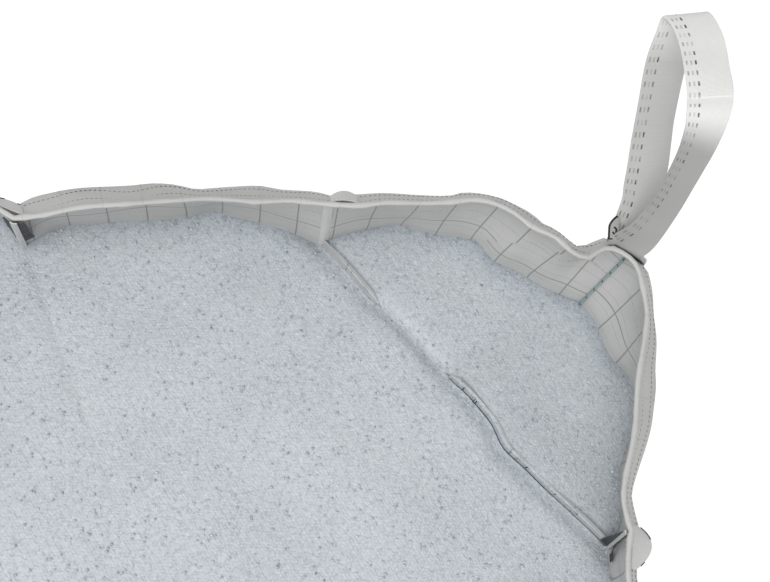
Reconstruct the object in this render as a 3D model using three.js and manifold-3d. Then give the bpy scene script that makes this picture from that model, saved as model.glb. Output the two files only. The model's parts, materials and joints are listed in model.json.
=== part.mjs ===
// Baffle bulk bag: a square woven bag that four inner baffles hold in shape. It is open at
// the top, filled with plastic granules, and has a webbing loop at each corner.
// Millimetres. +Z is up and +Y is the rear wall. The origin is under the middle of the base.
import * as THREE from "three";
import { mergeVertices } from "three/addons/utils/BufferGeometryUtils.js";
import Module from "manifold-3d";

const wasm = await Module();
wasm.setup();

// Driving dimensions
const RIM_HEIGHT = 1100;
const CLOTH = 1.5;
const GAP = 0.3;
const FREEBOARD = 170;
const MOUND = 30;

const HEM = { depth: 60, thickness: 3, beadDepth: 8, beadProud: 2.5 };
const BAFFLE = {
  thickness: 1.5, bottom: 120, proud: 16, crown: 10, tieWidth: 14, tieTop: 18, halfSpan: 400,
};
const FLOW_HOLE = {
  radius: 50, sides: 8, columns: 2, rows: 3, columnPitch: 220, rowPitch: 240, first: 270,
};
const SEAM_CORD = { radius: 2.5, sides: 8, top: 12 };
const STRAP = { width: 47, thickness: 3, legLength: 250 };
const RIM_TAB = { halfLength: 17, thickness: 1.2, top: 3, bottom: 25 };
const FIRST_TAB = { centre: 0, bulge: 14 };
const SECOND_TAB = { centre: 14, bulge: 8 };
const PATCH = { halfWidth: 16, thickness: 1, top: 45, bottom: 140 };
const GROUND_TAB = { halfWidth: 7.5, thickness: 1.5, bottom: 34, fromCorner: 27 };

const WALLS = ["rear", "right", "front", "left"];
const CORNERS = ["rear_right", "front_right", "front_left", "rear_left"];

// Plan of one wall, seen from inside with u to the right and v outwards. "left" runs from
// the corner to the first baffle line and "right" from the second to the next corner.
// "middle" lies between the baffle lines, as shares of the straight line between them and
// how far the cloth stands outwards from it. "ease" is how far the right wall's first
// baffle line stands off the place that the other walls have.
const BASE_PLAN = {
  left: [[-475, 475], [-440, 502], [-330, 512], [-240, 514], [-176, 514]],
  middle: [[0, 0], [0.25, 6], [0.5, 8], [0.75, 6], [1, 0]],
  right: [[182, 512], [250, 513], [330, 511], [440, 501], [475, 475]],
  ease: [48, 10],
};
const BODY_PLAN = {
  left: [[-437, 511], [-402, 540], [-330, 571], [-250, 566], [-176, 514]],
  middle: [[0, 0], [0.11, 22], [0.25, 40], [0.5, 52], [0.75, 40], [0.89, 22], [1, 0]],
  right: [[182, 512], [240, 545], [320, 556], [400, 518], [468, 469], [511, 437]],
  ease: [48, 10],
};
const FILL_PLAN = {
  left: [
    [-435, 511], [-408, 530], [-363, 548], [-340, 567], [-300, 576], [-250, 568],
    [-205, 541], [-176, 514],
  ],
  middle: [
    [0, 0], [0.11, 21], [0.23, 27], [0.37, 31], [0.51, 35], [0.6, 43], [0.64, 46],
    [0.68, 40], [0.76, 32.5], [0.89, 17], [1, 0],
  ],
  right: [
    [182, 512], [194, 518], [226, 529], [258, 536], [282, 537], [321, 526], [356, 523],
    [378, 517], [400, 490], [428, 477], [459, 457], [484, 446], [511, 435],
  ],
  ease: [48, 10],
};
const HEM_PLAN = {
  left: [
    [-452, 524], [-432, 543], [-406, 553], [-367, 556], [-321, 560], [-296, 560],
    [-247, 549], [-217, 537], [-196, 527], [-178, 519],
  ],
  middle: [
    [0, 0], [0.04, 9], [0.11, 15], [0.24, 19], [0.37, 23], [0.43, 25], [0.5, 22.5],
    [0.57, 16], [0.64, 18], [0.77, 20], [0.84, 14], [0.95, 9], [1, 0],
  ],
  right: [
    [181, 524], [205, 533], [236, 535], [283, 534], [335, 536], [355, 539], [385, 531],
    [404, 521], [424, 508], [434, 500], [453, 491], [480, 472], [500, 462], [524, 452],
  ],
  ease: [24, 2],
};
const RIM_PLAN = {
  left: [
    [-453, 519], [-443, 532], [-427, 540], [-395, 544], [-375, 544], [-355, 540],
    [-295, 527], [-240, 519], [-205, 507], [-177, 492],
  ],
  middle: [
    [0, 0], [0.1, 2.5], [0.21, 8.4], [0.31, 11.7], [0.42, 13], [0.5, 13], [0.6, 14],
    [0.68, 11.5], [0.76, 7], [0.89, 5.5], [1, 0],
  ],
  right: [
    [180, 509], [209, 508], [238, 511], [276, 511], [315, 514], [346, 517], [367, 513],
    [394, 500], [413, 485], [442, 471], [460, 453], [476, 445], [490, 453], [503, 459],
    [519, 453],
  ],
  ease: [20, 8],
};
const LEFT_STEPS = 8;
const MIDDLE_STEPS = 10;
const RIGHT_STEPS = 12;
const WALL_STEPS = LEFT_STEPS + MIDDLE_STEPS + RIGHT_STEPS;

// The base's plan rounds out to the body's at the first height. The walls stand upright on
// it, bulge at the granules' edge, flare at the hem and lean in to the rim.
const BODY_START = 280;
const BODY_END = 600;
const CLOTH_BOTTOM = CLOTH + GAP;
const FILL_EDGE = RIM_HEIGHT - FREEBOARD;
const HEM_BOTTOM = RIM_HEIGHT - HEM.depth;
const HEM_FLARE = RIM_HEIGHT - 45;
const HEM_MIDDLE = RIM_HEIGHT - 22;
const BEAD_BOTTOM = RIM_HEIGHT - HEM.beadDepth;
const BEAD_LEVELS = [BEAD_BOTTOM + 2, RIM_HEIGHT - 3];
const LEVELS = [
  CLOTH_BOTTOM, 45, 110, 190, BODY_START, BODY_END, 765, FILL_EDGE, 970, 1005,
  HEM_BOTTOM - 2, HEM_BOTTOM, HEM_FLARE, HEM_MIDDLE, BEAD_BOTTOM, ...BEAD_LEVELS, RIM_HEIGHT,
];

// Free part of a lifting loop at the rear right corner. It leans out over the rear wall:
// up the inner leg to the crease, over to the crown and back down the outer leg.
// Each point is x, y and the height over the rim.
const LOOP_INNER_LEG = [
  [542, 467, 38], [550, 481, 85], [552, 499, 150], [553, 520, 210], [547, 543, 255],
];
const LOOP_CROWN = [551, 664, 190];
const LOOP_CROWN_RADIUS = 12;
const LOOP_CROWN_ACROSS = [1, 0.04, 0];
const LOOP_OUTER_LEG = [[540, 622, 150], [536, 580, 105], [538, 531, 52], [536, 490, 18]];

// Free part of the ground tab beside that loop's foot, up and out from the rim, in the same
// measure. Its tip is round.
const GROUND_TAB_PATH = [[498, 463, 6], [500, 470, 15], [502, 478, 23], [503, 485, 30]];
const GROUND_TAB_WIDTHS = [1, 1, 0.85, 0.4];

// Small vector helpers
const xyz = (p, z) => new THREE.Vector3(p.x, p.y, z);
const turnWall = (p, wall) => {
  const angle = -wall * Math.PI / 2;
  return p.clone().rotateAround(new THREE.Vector2(), angle);
};

function spaced(points, steps) {
  const curve = new THREE.CatmullRomCurve3(
    points.map(([x, y]) => new THREE.Vector3(x, y, 0)), false, "centripetal");
  return curve.getSpacedPoints(steps).map((p) => new THREE.Vector2(p.x, p.y));
}

function wallPlan(plan, wall) {
  const left = plan.left.map((p) => [...p]);
  if (WALLS[wall] === "right") {
    const last = left[left.length - 1];
    last[0] += plan.ease[0];
    last[1] += plan.ease[1];
  }
  const start = spaced(left, LEFT_STEPS);
  const end = spaced(plan.right, RIGHT_STEPS);
  const from = start[LEFT_STEPS];
  const to = end[0];
  const swelling = plan.middle.map(([share, out]) => {
    const p = from.clone().lerp(to, share);
    return [p.x, p.y + out];
  });
  const middle = spaced(swelling, MIDDLE_STEPS).slice(1, MIDDLE_STEPS);
  const points = [...start, ...middle, ...end.slice(0, RIGHT_STEPS)];
  return points.map((p) => turnWall(p, wall));
}

const planRing = (plan) => WALLS.flatMap((_, wall) => wallPlan(plan, wall));
const BODY_RING = planRing(BODY_PLAN);
const RING_SIZE = BODY_RING.length;
const PLAN_RINGS = [
  [0, planRing(BASE_PLAN)], [BODY_START, BODY_RING], [BODY_END, BODY_RING],
  [FILL_EDGE, planRing(FILL_PLAN)], [HEM_FLARE, planRing(HEM_PLAN)],
  [RIM_HEIGHT, planRing(RIM_PLAN)],
];

// Outer face of the cloth at a level, as a closed ring that runs clockwise from above
function shapedRing(z) {
  let k = 0;
  while (k < PLAN_RINGS.length - 2 && PLAN_RINGS[k + 1][0] <= z) k += 1;
  const [from, lower] = PLAN_RINGS[k];
  const [to, upper] = PLAN_RINGS[k + 1];
  const left = (to - z) / (to - from);
  const share = k === 0 ? 1 - left * left : THREE.MathUtils.smoothstep(z, from, to);
  return lower.map((p, i) => p.clone().lerp(upper[i], share));
}
const LEVEL_RINGS = LEVELS.map(shapedRing);

// Between two levels the cloth is flat, so every other height is read off that flat
function ringAt(z) {
  let k = 0;
  while (k < LEVELS.length - 2 && LEVELS[k + 1] < z) k += 1;
  const t = (z - LEVELS[k]) / (LEVELS[k + 1] - LEVELS[k]);
  return LEVEL_RINGS[k].map((p, i) => p.clone().lerp(LEVEL_RINGS[k + 1][i], t));
}

const outward = (from, to) => {
  const d = to.clone().sub(from).normalize();
  return new THREE.Vector2(-d.y, d.x);
};

function ringNormal(ring, i) {
  const size = ring.length;
  const before = outward(ring[(i + size - 1) % size], ring[i % size]);
  const after = outward(ring[i % size], ring[(i + 1) % size]);
  const mitre = before.clone().add(after).normalize();
  return mitre.divideScalar(mitre.dot(before));
}

const offsetRing = (ring, distance) =>
  ring.map((p, i) => p.clone().addScaledVector(ringNormal(ring, i), distance));

// A point of the ring at a corner or baffle line, moved sideways and outwards
function besideRing(ring, i, along, out) {
  const size = ring.length;
  const here = ring[i % size];
  if (along === 0) return here.clone().addScaledVector(ringNormal(ring, i), out);
  const other = ring[(i + (along > 0 ? 1 : size - 1)) % size];
  const direction = other.clone().sub(here).normalize();
  const normal = along > 0 ? outward(here, other) : outward(other, here);
  return here.clone().addScaledVector(direction, Math.abs(along)).addScaledVector(normal, out);
}

const cornerIndex = (wall) => (wall + 1) * WALL_STEPS;
const firstLine = (wall) => wall * WALL_STEPS + LEFT_STEPS;
const secondLine = (wall) => wall * WALL_STEPS + LEFT_STEPS + MIDDLE_STEPS;

// Solids from grids of points
function solid(triangles) {
  let volume = 0;
  for (const [a, b, c] of triangles) volume += a.dot(b.clone().cross(c));
  const positions = [];
  for (const [a, b, c] of triangles) {
    for (const p of volume > 0 ? [a, b, c] : [a, c, b]) positions.push(p.x, p.y, p.z);
  }
  const geometry = new THREE.BufferGeometry();
  geometry.setAttribute("position", new THREE.Float32BufferAttribute(positions, 3));
  return geometry;
}

function addQuad(triangles, a, b, c, d) {
  triangles.push([a, b, c], [a, c, d]);
}

// Two skins with the same stations, closed round all four edges
function skin(outer, inner) {
  const triangles = [];
  const last = outer.length - 1;
  const top = outer[0].length - 1;
  for (let i = 0; i < last; i += 1) {
    for (let k = 0; k < top; k += 1) {
      addQuad(triangles, outer[i][k], outer[i + 1][k], outer[i + 1][k + 1], outer[i][k + 1]);
      triangles.push([inner[i][k], inner[i + 1][k + 1], inner[i + 1][k]]);
      triangles.push([inner[i][k], inner[i][k + 1], inner[i + 1][k + 1]]);
    }
    addQuad(triangles, inner[i][0], inner[i + 1][0], outer[i + 1][0], outer[i][0]);
    addQuad(triangles, outer[i][top], outer[i + 1][top], inner[i + 1][top], inner[i][top]);
  }
  for (let k = 0; k < top; k += 1) {
    addQuad(triangles, outer[0][k], outer[0][k + 1], inner[0][k + 1], inner[0][k]);
    addQuad(triangles, inner[last][k], inner[last][k + 1], outer[last][k + 1], outer[last][k]);
  }
  return solid(triangles);
}

// A stack of closed rings, with the first and last closed to their centre
function stack(rings, bottomCentre, topCentre) {
  const triangles = [];
  const size = rings[0].length;
  for (let i = 0; i < size; i += 1) {
    const j = (i + 1) % size;
    for (let k = 0; k < rings.length - 1; k += 1) {
      addQuad(triangles, rings[k][i], rings[k][j], rings[k + 1][j], rings[k + 1][i]);
    }
    triangles.push([bottomCentre, rings[0][j], rings[0][i]]);
    triangles.push([topCentre, rings[rings.length - 1][i], rings[rings.length - 1][j]]);
  }
  return solid(triangles);
}

function manifoldOf(geometry) {
  const bare = new THREE.BufferGeometry();
  bare.setAttribute("position", geometry.getAttribute("position"));
  const merged = mergeVertices(bare, 1e-4);
  return new wasm.Manifold(new wasm.Mesh({
    numProp: 3,
    vertProperties: new Float32Array(merged.getAttribute("position").array),
    triVerts: new Uint32Array(merged.index.array),
  }));
}

function geometryOf(manifold) {
  const mesh = manifold.getMesh();
  const geometry = new THREE.BufferGeometry();
  geometry.setAttribute("position", new THREE.Float32BufferAttribute(mesh.vertProperties, 3));
  geometry.setIndex(new THREE.Uint32BufferAttribute(mesh.triVerts, 1));
  return geometry;
}

// Walls and base
function clothThickness(z) {
  return z > HEM_BOTTOM - 1 ? HEM.thickness : CLOTH;
}

function beadSwell(z) {
  if (z === BEAD_LEVELS[0]) return HEM.beadProud - GAP;
  return z === BEAD_LEVELS[1] ? HEM.beadProud : 0;
}

// The cloth's two faces at every level, moved apart by "grow"
function clothFaces(grow) {
  return LEVEL_RINGS.map((ring, k) => {
    const level = LEVELS[k];
    const z = k === LEVELS.length - 1 ? level + grow : level;
    const out = offsetRing(ring, beadSwell(level) + grow);
    const into = offsetRing(ring, -clothThickness(level) - beadSwell(level) - grow);
    return { z, out, into };
  });
}

function panelGeometry(wall, grow = 0) {
  const first = wall * WALL_STEPS;
  const outer = [];
  const inner = [];
  const faces = clothFaces(grow);
  const place = (points, i, z) => {
    const p = points[(first + i) % RING_SIZE].clone();
    const neighbour = i === 0 ? 1 : i - 1;
    if (grow === 0 && (i === 0 || i === WALL_STEPS)) {
      const inwards = points[(first + neighbour) % RING_SIZE].clone().sub(p).normalize();
      p.addScaledVector(inwards, GAP / 2);
    }
    return xyz(p, z);
  };
  for (let i = 0; i <= WALL_STEPS; i += 1) {
    outer.push(faces.map((face) => place(face.out, i, face.z)));
    inner.push(faces.map((face) => place(face.into, i, face.z)));
  }
  return skin(outer, inner);
}

// Room that the walls leave, and each wall with its clearance, to trim what touches them
const INNER_ROOM = manifoldOf(stack(
  clothFaces(GAP).map((face) => face.into.map((p) => xyz(p, face.z))),
  new THREE.Vector3(0, 0, CLOTH_BOTTOM), new THREE.Vector3(0, 0, RIM_HEIGHT + GAP)));
const WALL_ROOM = WALLS.map((_, wall) => manifoldOf(panelGeometry(wall, GAP)));

const largest = (manifold) =>
  manifold.decompose().sort((a, b) => b.volume() - a.volume())[0];

function clearOfWalls(geometry, walls) {
  const trimmed = walls.reduce(
    (body, wall) => body.subtract(WALL_ROOM[wall % WALLS.length]), manifoldOf(geometry));
  return geometryOf(largest(trimmed));
}

function baseGeometry() {
  const ring = LEVEL_RINGS[0];
  return stack([ring.map((p) => xyz(p, 0)), ring.map((p) => xyz(p, CLOTH))],
    new THREE.Vector3(0, 0, 0), new THREE.Vector3(0, 0, CLOTH));
}

// Baffles. Each one is flat, and stands between a wall's second line and the next wall's
// first line. Its side hems run up to the rim as ties.
function bafflePlane(wall) {
  const start = BODY_RING[secondLine(wall)];
  const end = BODY_RING[firstLine(wall + 1) % RING_SIZE];
  const along = end.clone().sub(start).normalize();
  const middle = start.clone().add(end).multiplyScalar(0.5);
  return { along, middle };
}

function reach(ring, plane, sign) {
  let best = Infinity;
  const ray = plane.along.clone().multiplyScalar(sign);
  for (let i = 0; i < ring.length; i += 1) {
    const a = ring[i].clone().sub(plane.middle);
    const b = ring[(i + 1) % ring.length].clone().sub(plane.middle);
    const sideA = ray.cross(a);
    const sideB = ray.cross(b);
    if (sideA === sideB || sideA * sideB > 0) continue;
    const hit = a.lerp(b, sideA / (sideA - sideB));
    const distance = hit.dot(ray);
    if (distance > 0) best = Math.min(best, distance);
  }
  return best;
}

// The plate runs past the walls and is trimmed by the room between them
function baffleOutline(plane) {
  const top = FILL_EDGE + BAFFLE.proud;
  const tieTop = RIM_HEIGHT - BAFFLE.tieTop;
  const levels = [top, ...LEVELS.filter((z) => z > top && z < tieTop), tieTop];
  const tie = (sign) => levels.map((z) => {
    const face = offsetRing(ringAt(z), -clothThickness(z) - GAP);
    return [sign * (reach(face, plane, sign) - BAFFLE.tieWidth), z];
  });
  const past = BAFFLE.halfSpan;
  return [
    [-past, BAFFLE.bottom], [past, BAFFLE.bottom], [past, tieTop],
    ...tie(1).reverse(), [0, top + BAFFLE.crown], ...tie(-1), [-past, tieTop],
  ];
}

function flowHoles(radius) {
  const holes = [];
  for (let c = 0; c < FLOW_HOLE.columns; c += 1) {
    for (let r = 0; r < FLOW_HOLE.rows; r += 1) {
      const s = (c - (FLOW_HOLE.columns - 1) / 2) * FLOW_HOLE.columnPitch;
      const z = FLOW_HOLE.first + r * FLOW_HOLE.rowPitch;
      const hole = new THREE.Path();
      for (let k = 0; k < FLOW_HOLE.sides; k += 1) {
        const angle = k / FLOW_HOLE.sides * Math.PI * 2;
        const x = s + radius * Math.cos(angle);
        const y = z + radius * Math.sin(angle);
        if (k === 0) hole.moveTo(x, y);
        else hole.lineTo(x, y);
      }
      hole.closePath();
      holes.push(hole);
    }
  }
  return holes;
}

function standInPlane(outline, holes, thickness, plane) {
  const shape = new THREE.Shape(outline.map(([s, z]) => new THREE.Vector2(s, z)));
  shape.holes = holes;
  const geometry = new THREE.ExtrudeGeometry(shape, { depth: thickness, bevelEnabled: false });
  geometry.translate(0, 0, -thickness / 2);
  const across = new THREE.Vector3(plane.along.y, -plane.along.x, 0);
  const matrix = new THREE.Matrix4().makeBasis(
    new THREE.Vector3(plane.along.x, plane.along.y, 0), new THREE.Vector3(0, 0, 1), across);
  matrix.setPosition(plane.middle.x, plane.middle.y, 0);
  return geometry.applyMatrix4(matrix);
}

function baffleGeometry(wall) {
  const plane = bafflePlane(wall);
  const plate = standInPlane(
    baffleOutline(plane), flowHoles(FLOW_HOLE.radius), BAFFLE.thickness, plane);
  const patchRoom = patchSkin((wall + 1) % WALLS.length, GAP);
  return geometryOf(largest(
    manifoldOf(plate).intersect(INNER_ROOM).subtract(manifoldOf(patchRoom))));
}

// Seam cord down the inside of a corner
function cordGeometry(wall, radius, top, bottom) {
  const index = cornerIndex(wall) % RING_SIZE;
  const levels = [bottom, ...LEVELS.filter((z) => z > bottom && z < top), top];
  const half = SEAM_CORD.sides / 2;
  const sides = (z, start) => {
    const into = clothThickness(z) + GAP + SEAM_CORD.radius;
    const centre = offsetRing(ringAt(Math.min(z, RIM_HEIGHT)), -into)[index];
    return Array.from({ length: half }, (_, k) => {
      const angle = (start + (start === 0 ? k : half - 1 - k) + 0.5) / SEAM_CORD.sides * Math.PI * 2;
      return new THREE.Vector3(
        centre.x + radius * Math.cos(angle), centre.y + radius * Math.sin(angle), z);
    });
  };
  return skin(levels.map((z) => sides(z, 0)), levels.map((z) => sides(z, half)));
}

// Granules: one heaped body with a slot for each baffle, joined through the flow holes
function granulesGeometry() {
  const edge = LEVELS.filter((z) => z <= FILL_EDGE);
  const rings = edge.map((z) =>
    offsetRing(LEVEL_RINGS[LEVELS.indexOf(z)], -CLOTH - GAP).map((p) => xyz(p, z)));
  const rim = rings[rings.length - 1];
  for (const share of [0.8, 0.55, 0.28]) {
    rings.push(rim.map((p) => new THREE.Vector3(
      p.x * share, p.y * share, FILL_EDGE + MOUND * (1 - share * share))));
  }
  let body = manifoldOf(stack(rings,
    new THREE.Vector3(0, 0, CLOTH_BOTTOM), new THREE.Vector3(0, 0, FILL_EDGE + MOUND)));
  const far = BAFFLE.halfSpan;
  for (let wall = 0; wall < WALLS.length; wall += 1) {
    const bottom = BAFFLE.bottom - GAP;
    const outline = [[-far, bottom], [far, bottom], [far, RIM_HEIGHT], [-far, RIM_HEIGHT]];
    const slot = standInPlane(outline, flowHoles(FLOW_HOLE.radius - GAP),
      BAFFLE.thickness + 2 * GAP, bafflePlane(wall));
    body = body.subtract(manifoldOf(slot));
    body = body.subtract(manifoldOf(
      cordGeometry(wall, SEAM_CORD.radius + GAP * 2, RIM_HEIGHT, 0)));
  }
  return geometryOf(body);
}

// A short tape at a baffle line. Its ends lie on the hem's outside and its middle bulges
// off it, by these shares of its bulge along its length. "centre" is how far it lies to the
// right of the line.
const TAB_ARC = [[-1, 0], [-0.75, 0.5], [-0.4, 0.9], [0, 1], [0.4, 0.9], [0.75, 0.5], [1, 0]];

function rimTabGeometry(index, { centre, bulge }) {
  const levels = [RIM_HEIGHT - RIM_TAB.bottom, RIM_HEIGHT - RIM_TAB.top];
  const face = (depth) => TAB_ARC.map(([share, rise]) => levels.map((z) => {
    const along = centre + share * RIM_TAB.halfLength;
    const out = HEM.beadProud + GAP + depth + rise * bulge;
    return xyz(besideRing(ringAt(z), index, along, out), z);
  }));
  return skin(face(RIM_TAB.thickness), face(0));
}

// Black patch behind the tie at a wall's first baffle line. With "grow" it is the room that
// the patch needs, from the wall inwards.
function patchSkin(wall, grow) {
  const index = firstLine(wall);
  const side = PATCH.halfWidth + grow;
  const bottom = RIM_HEIGHT - PATCH.bottom - grow;
  const top = RIM_HEIGHT - PATCH.top + grow;
  const levels = [bottom, ...LEVELS.filter((z) => z > bottom && z < top), top];
  const face = (depth) => [-side, 0, side].map((along) => levels.map((z) =>
    xyz(besideRing(ringAt(z), index, along, -HEM.thickness - GAP - depth), z)));
  const back = grow > 0 ? -HEM.thickness : 0;
  return skin(face(back), face(PATCH.thickness + grow));
}

// Lifting loops. The two legs lie on each other outside the corner, the inner leg first.
const loopStandOff = (z) =>
  GAP + (HEM.beadProud + GAP) * THREE.MathUtils.smoothstep(z, FILL_EDGE, BEAD_BOTTOM);

function legStations(layer) {
  const bottom = RIM_HEIGHT - STRAP.legLength;
  const heights = LEVELS.filter((z) => z > bottom && z < BEAD_BOTTOM);
  return [bottom, ...heights, BEAD_BOTTOM, RIM_HEIGHT].map((z) => {
    const ring = ringAt(z);
    const out = loopStandOff(z) + STRAP.thickness / 2 + layer * (STRAP.thickness + GAP);
    const normal = ringNormal(ring, WALL_STEPS).normalize();
    const centre = ring[WALL_STEPS].clone().addScaledVector(normal, out);
    return { centre: xyz(centre, z), width: new THREE.Vector3(normal.y, -normal.x, 0) };
  });
}

function loopGeometry(wall) {
  const up = legStations(0);
  const down = legStations(1).reverse();
  const lift = ([x, y, h]) => new THREE.Vector3(x, y, RIM_HEIGHT + h);
  const inner = [up[up.length - 1].centre, ...LOOP_INNER_LEG.map(lift)];
  const outer = [...LOOP_OUTER_LEG.map(lift), down[0].centre];
  const crown = lift(LOOP_CROWN);
  const crease = inner[inner.length - 1];
  const slope = crown.clone().sub(crease).normalize();
  const under = new THREE.Vector3(0, -slope.z, slope.y).normalize().negate();
  const bend = [0, 0.25, 0.5, 0.75, 1].map((t) => {
    const angle = t * Math.PI;
    return crown.clone()
      .addScaledVector(under, LOOP_CROWN_RADIUS * (1 - Math.cos(angle)))
      .addScaledVector(slope, LOOP_CROWN_RADIUS * (Math.sin(angle) - 1));
  });
  const rise = new THREE.CatmullRomCurve3(inner, false, "centripetal").getSpacedPoints(9);
  const fall = new THREE.CatmullRomCurve3([bend[bend.length - 1], ...outer], false, "centripetal")
    .getSpacedPoints(9);
  const free = [...rise.slice(1), ...bend.slice(0, -1), ...fall.slice(0, -1)];
  const footWidth = up[up.length - 1].width;
  const acrossCrown = new THREE.Vector3(...LOOP_CROWN_ACROSS);
  const middle = free.map((centre) => {
    const settle = THREE.MathUtils.smoothstep(centre.z - RIM_HEIGHT, 0, 150);
    return { centre, width: footWidth.clone().lerp(acrossCrown, settle).normalize() };
  });
  const stations = [...up, ...middle, ...down];
  const faces = stations.map(({ centre, width }, i) => {
    const before = stations[Math.max(0, i - 1)].centre;
    const after = stations[Math.min(stations.length - 1, i + 1)].centre;
    const tangent = after.clone().sub(before).normalize();
    const normal = width.clone().cross(tangent).normalize();
    return { centre, width, normal };
  });
  const edge = (sign) => faces.map(({ centre, width, normal }) => [-1, 1].map((side) => centre.clone()
    .addScaledVector(width, side * STRAP.width / 2)
    .addScaledVector(normal, sign * STRAP.thickness / 2)));
  return skin(edge(1), edge(-1)).rotateZ(-wall * Math.PI / 2);
}

// Ground tab: a short round-ended tape that is sewn to the hem's outside near the corner
function groundTabGeometry(wall) {
  const corner = cornerIndex(wall) % RING_SIZE;
  const out = HEM.beadProud + 2 * GAP + GROUND_TAB.thickness / 2;
  const heights = [RIM_HEIGHT - GROUND_TAB.bottom, HEM_MIDDLE, BEAD_BOTTOM, RIM_HEIGHT - 1];
  const sewn = heights.map((z) =>
    xyz(besideRing(ringAt(z), corner, -GROUND_TAB.fromCorner, out), z));
  const free = GROUND_TAB_PATH.map(([x, y, h]) => new THREE.Vector3(x, y, RIM_HEIGHT + h));
  const centres = [...sewn, ...free];
  const widths = [...sewn.map(() => 1), ...GROUND_TAB_WIDTHS];
  const across = new THREE.Vector3(1, 0, 0);
  const face = (sign) => centres.map((centre, i) => {
    const before = centres[Math.max(0, i - 1)];
    const after = centres[Math.min(centres.length - 1, i + 1)];
    const normal = across.clone().cross(after.clone().sub(before)).normalize();
    return [-1, 1].map((side) => centre.clone()
      .addScaledVector(across, side * widths[i] * GROUND_TAB.halfWidth)
      .addScaledVector(normal, sign * GROUND_TAB.thickness / 2));
  });
  return skin(face(1), face(-1));
}

// Materials
const MATERIALS = {
  cloth: { color: 0xcfd1cf, roughness: 0.75, metalness: 0 },
  webbing: { color: 0xd8d8d4, roughness: 0.7, metalness: 0 },
  granules: { color: 0xc3cacf, roughness: 0.45, metalness: 0 },
  cord: { color: 0x7f9da3, roughness: 0.7, metalness: 0 },
  black: { color: 0x26282a, roughness: 0.6, metalness: 0 },
};

const bag = new THREE.Group();

function add(name, geometry, finish) {
  const mesh = new THREE.Mesh(geometry, new THREE.MeshStandardMaterial(MATERIALS[finish]));
  mesh.name = name;
  bag.add(mesh);
}

add("base_panel", baseGeometry(), "cloth");
WALLS.forEach((name, wall) => {
  const nextWall = (wall + 1) % WALLS.length;
  add(`panel_${name}`, panelGeometry(wall), "cloth");
  add(`baffle_${CORNERS[wall]}`, baffleGeometry(wall), "cloth");
  add(`seam_cord_${CORNERS[wall]}`,
    clearOfWalls(cordGeometry(wall, SEAM_CORD.radius, RIM_HEIGHT - SEAM_CORD.top, CLOTH_BOTTOM),
      [wall, nextWall]), "cord");
  add(`rim_tab_${name}_first`,
    clearOfWalls(rimTabGeometry(firstLine(wall), FIRST_TAB), [wall]), "webbing");
  add(`rim_tab_${name}_second`,
    clearOfWalls(rimTabGeometry(secondLine(wall), SECOND_TAB), [wall]), "webbing");
  add(`bonding_patch_${name}`, clearOfWalls(patchSkin(wall, 0), [wall]), "black");
  add(`lifting_loop_${CORNERS[wall]}`, loopGeometry(wall), "webbing");
  if (nextWall === 0) add("granules", granulesGeometry(), "granules");
});

add("ground_tab_rear_right", clearOfWalls(groundTabGeometry(0), [0, 1]), "webbing");

export default bag;
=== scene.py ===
# Baffle bulk bag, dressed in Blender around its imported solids

# %% [markdown]
# A baffle bulk bag is a square bag of woven plastic cloth. Four inner sheets, the baffles, hold
# its walls back when it is full. It stands about 1.1 m high and here it is open and full of
# granules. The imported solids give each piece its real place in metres, with +Z up and +Y towards
# the rear wall. This lesson replaces the plain solids of the cloth with creased sheets, a rolled
# hem, webbing, stitches and grain.

import json
import math

import bpy
import numpy as np
from mathutils import Matrix, Vector

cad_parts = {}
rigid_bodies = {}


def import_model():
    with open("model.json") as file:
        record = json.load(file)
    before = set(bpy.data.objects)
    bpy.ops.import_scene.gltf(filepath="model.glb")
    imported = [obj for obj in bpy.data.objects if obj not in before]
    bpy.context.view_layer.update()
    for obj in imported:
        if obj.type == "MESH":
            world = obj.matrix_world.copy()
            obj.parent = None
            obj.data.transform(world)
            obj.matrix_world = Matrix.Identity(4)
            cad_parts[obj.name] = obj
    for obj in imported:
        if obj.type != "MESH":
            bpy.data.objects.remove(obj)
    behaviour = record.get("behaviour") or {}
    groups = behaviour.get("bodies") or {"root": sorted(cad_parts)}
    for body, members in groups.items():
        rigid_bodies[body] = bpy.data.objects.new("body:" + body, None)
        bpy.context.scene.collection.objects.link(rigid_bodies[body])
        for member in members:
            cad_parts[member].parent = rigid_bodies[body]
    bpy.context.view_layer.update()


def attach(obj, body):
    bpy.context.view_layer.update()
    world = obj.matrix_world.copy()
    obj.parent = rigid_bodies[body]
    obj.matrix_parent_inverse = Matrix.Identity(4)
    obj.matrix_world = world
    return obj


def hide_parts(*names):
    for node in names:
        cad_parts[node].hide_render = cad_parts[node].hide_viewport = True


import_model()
bpy.ops.object.select_all(action="DESELECT")

# %% [markdown]
# The camera looks almost straight down on the rear right quarter of the bag. Its direction
# follows from two facts: the focal length in pixels of the frame, and the place in the frame that
# lies straight below the camera. The lens is that focal length on a 36 mm sensor.

# %% Camera
FRAME_WIDTH, FRAME_HEIGHT = 770, 582
FOCAL_LENGTH = 1500
BELOW_CAMERA = (200, 690)
CAMERA_PLACE = Vector((0.029, -0.028, 2.736))
CAMERA_YAW = math.radians(-1.75)

down = Vector((
    (BELOW_CAMERA[0] - FRAME_WIDTH / 2) / FOCAL_LENGTH,
    (FRAME_HEIGHT / 2 - BELOW_CAMERA[1]) / FOCAL_LENGTH,
    -1,
)).normalized()
rightwards = Vector((1, 0, 0))
rightwards = (rightwards - down * rightwards.dot(down)).normalized()
forwards = (-down).cross(rightwards)
turned = Matrix.Rotation(CAMERA_YAW, 3, "Z") @ Matrix((rightwards, forwards, -down))

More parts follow.
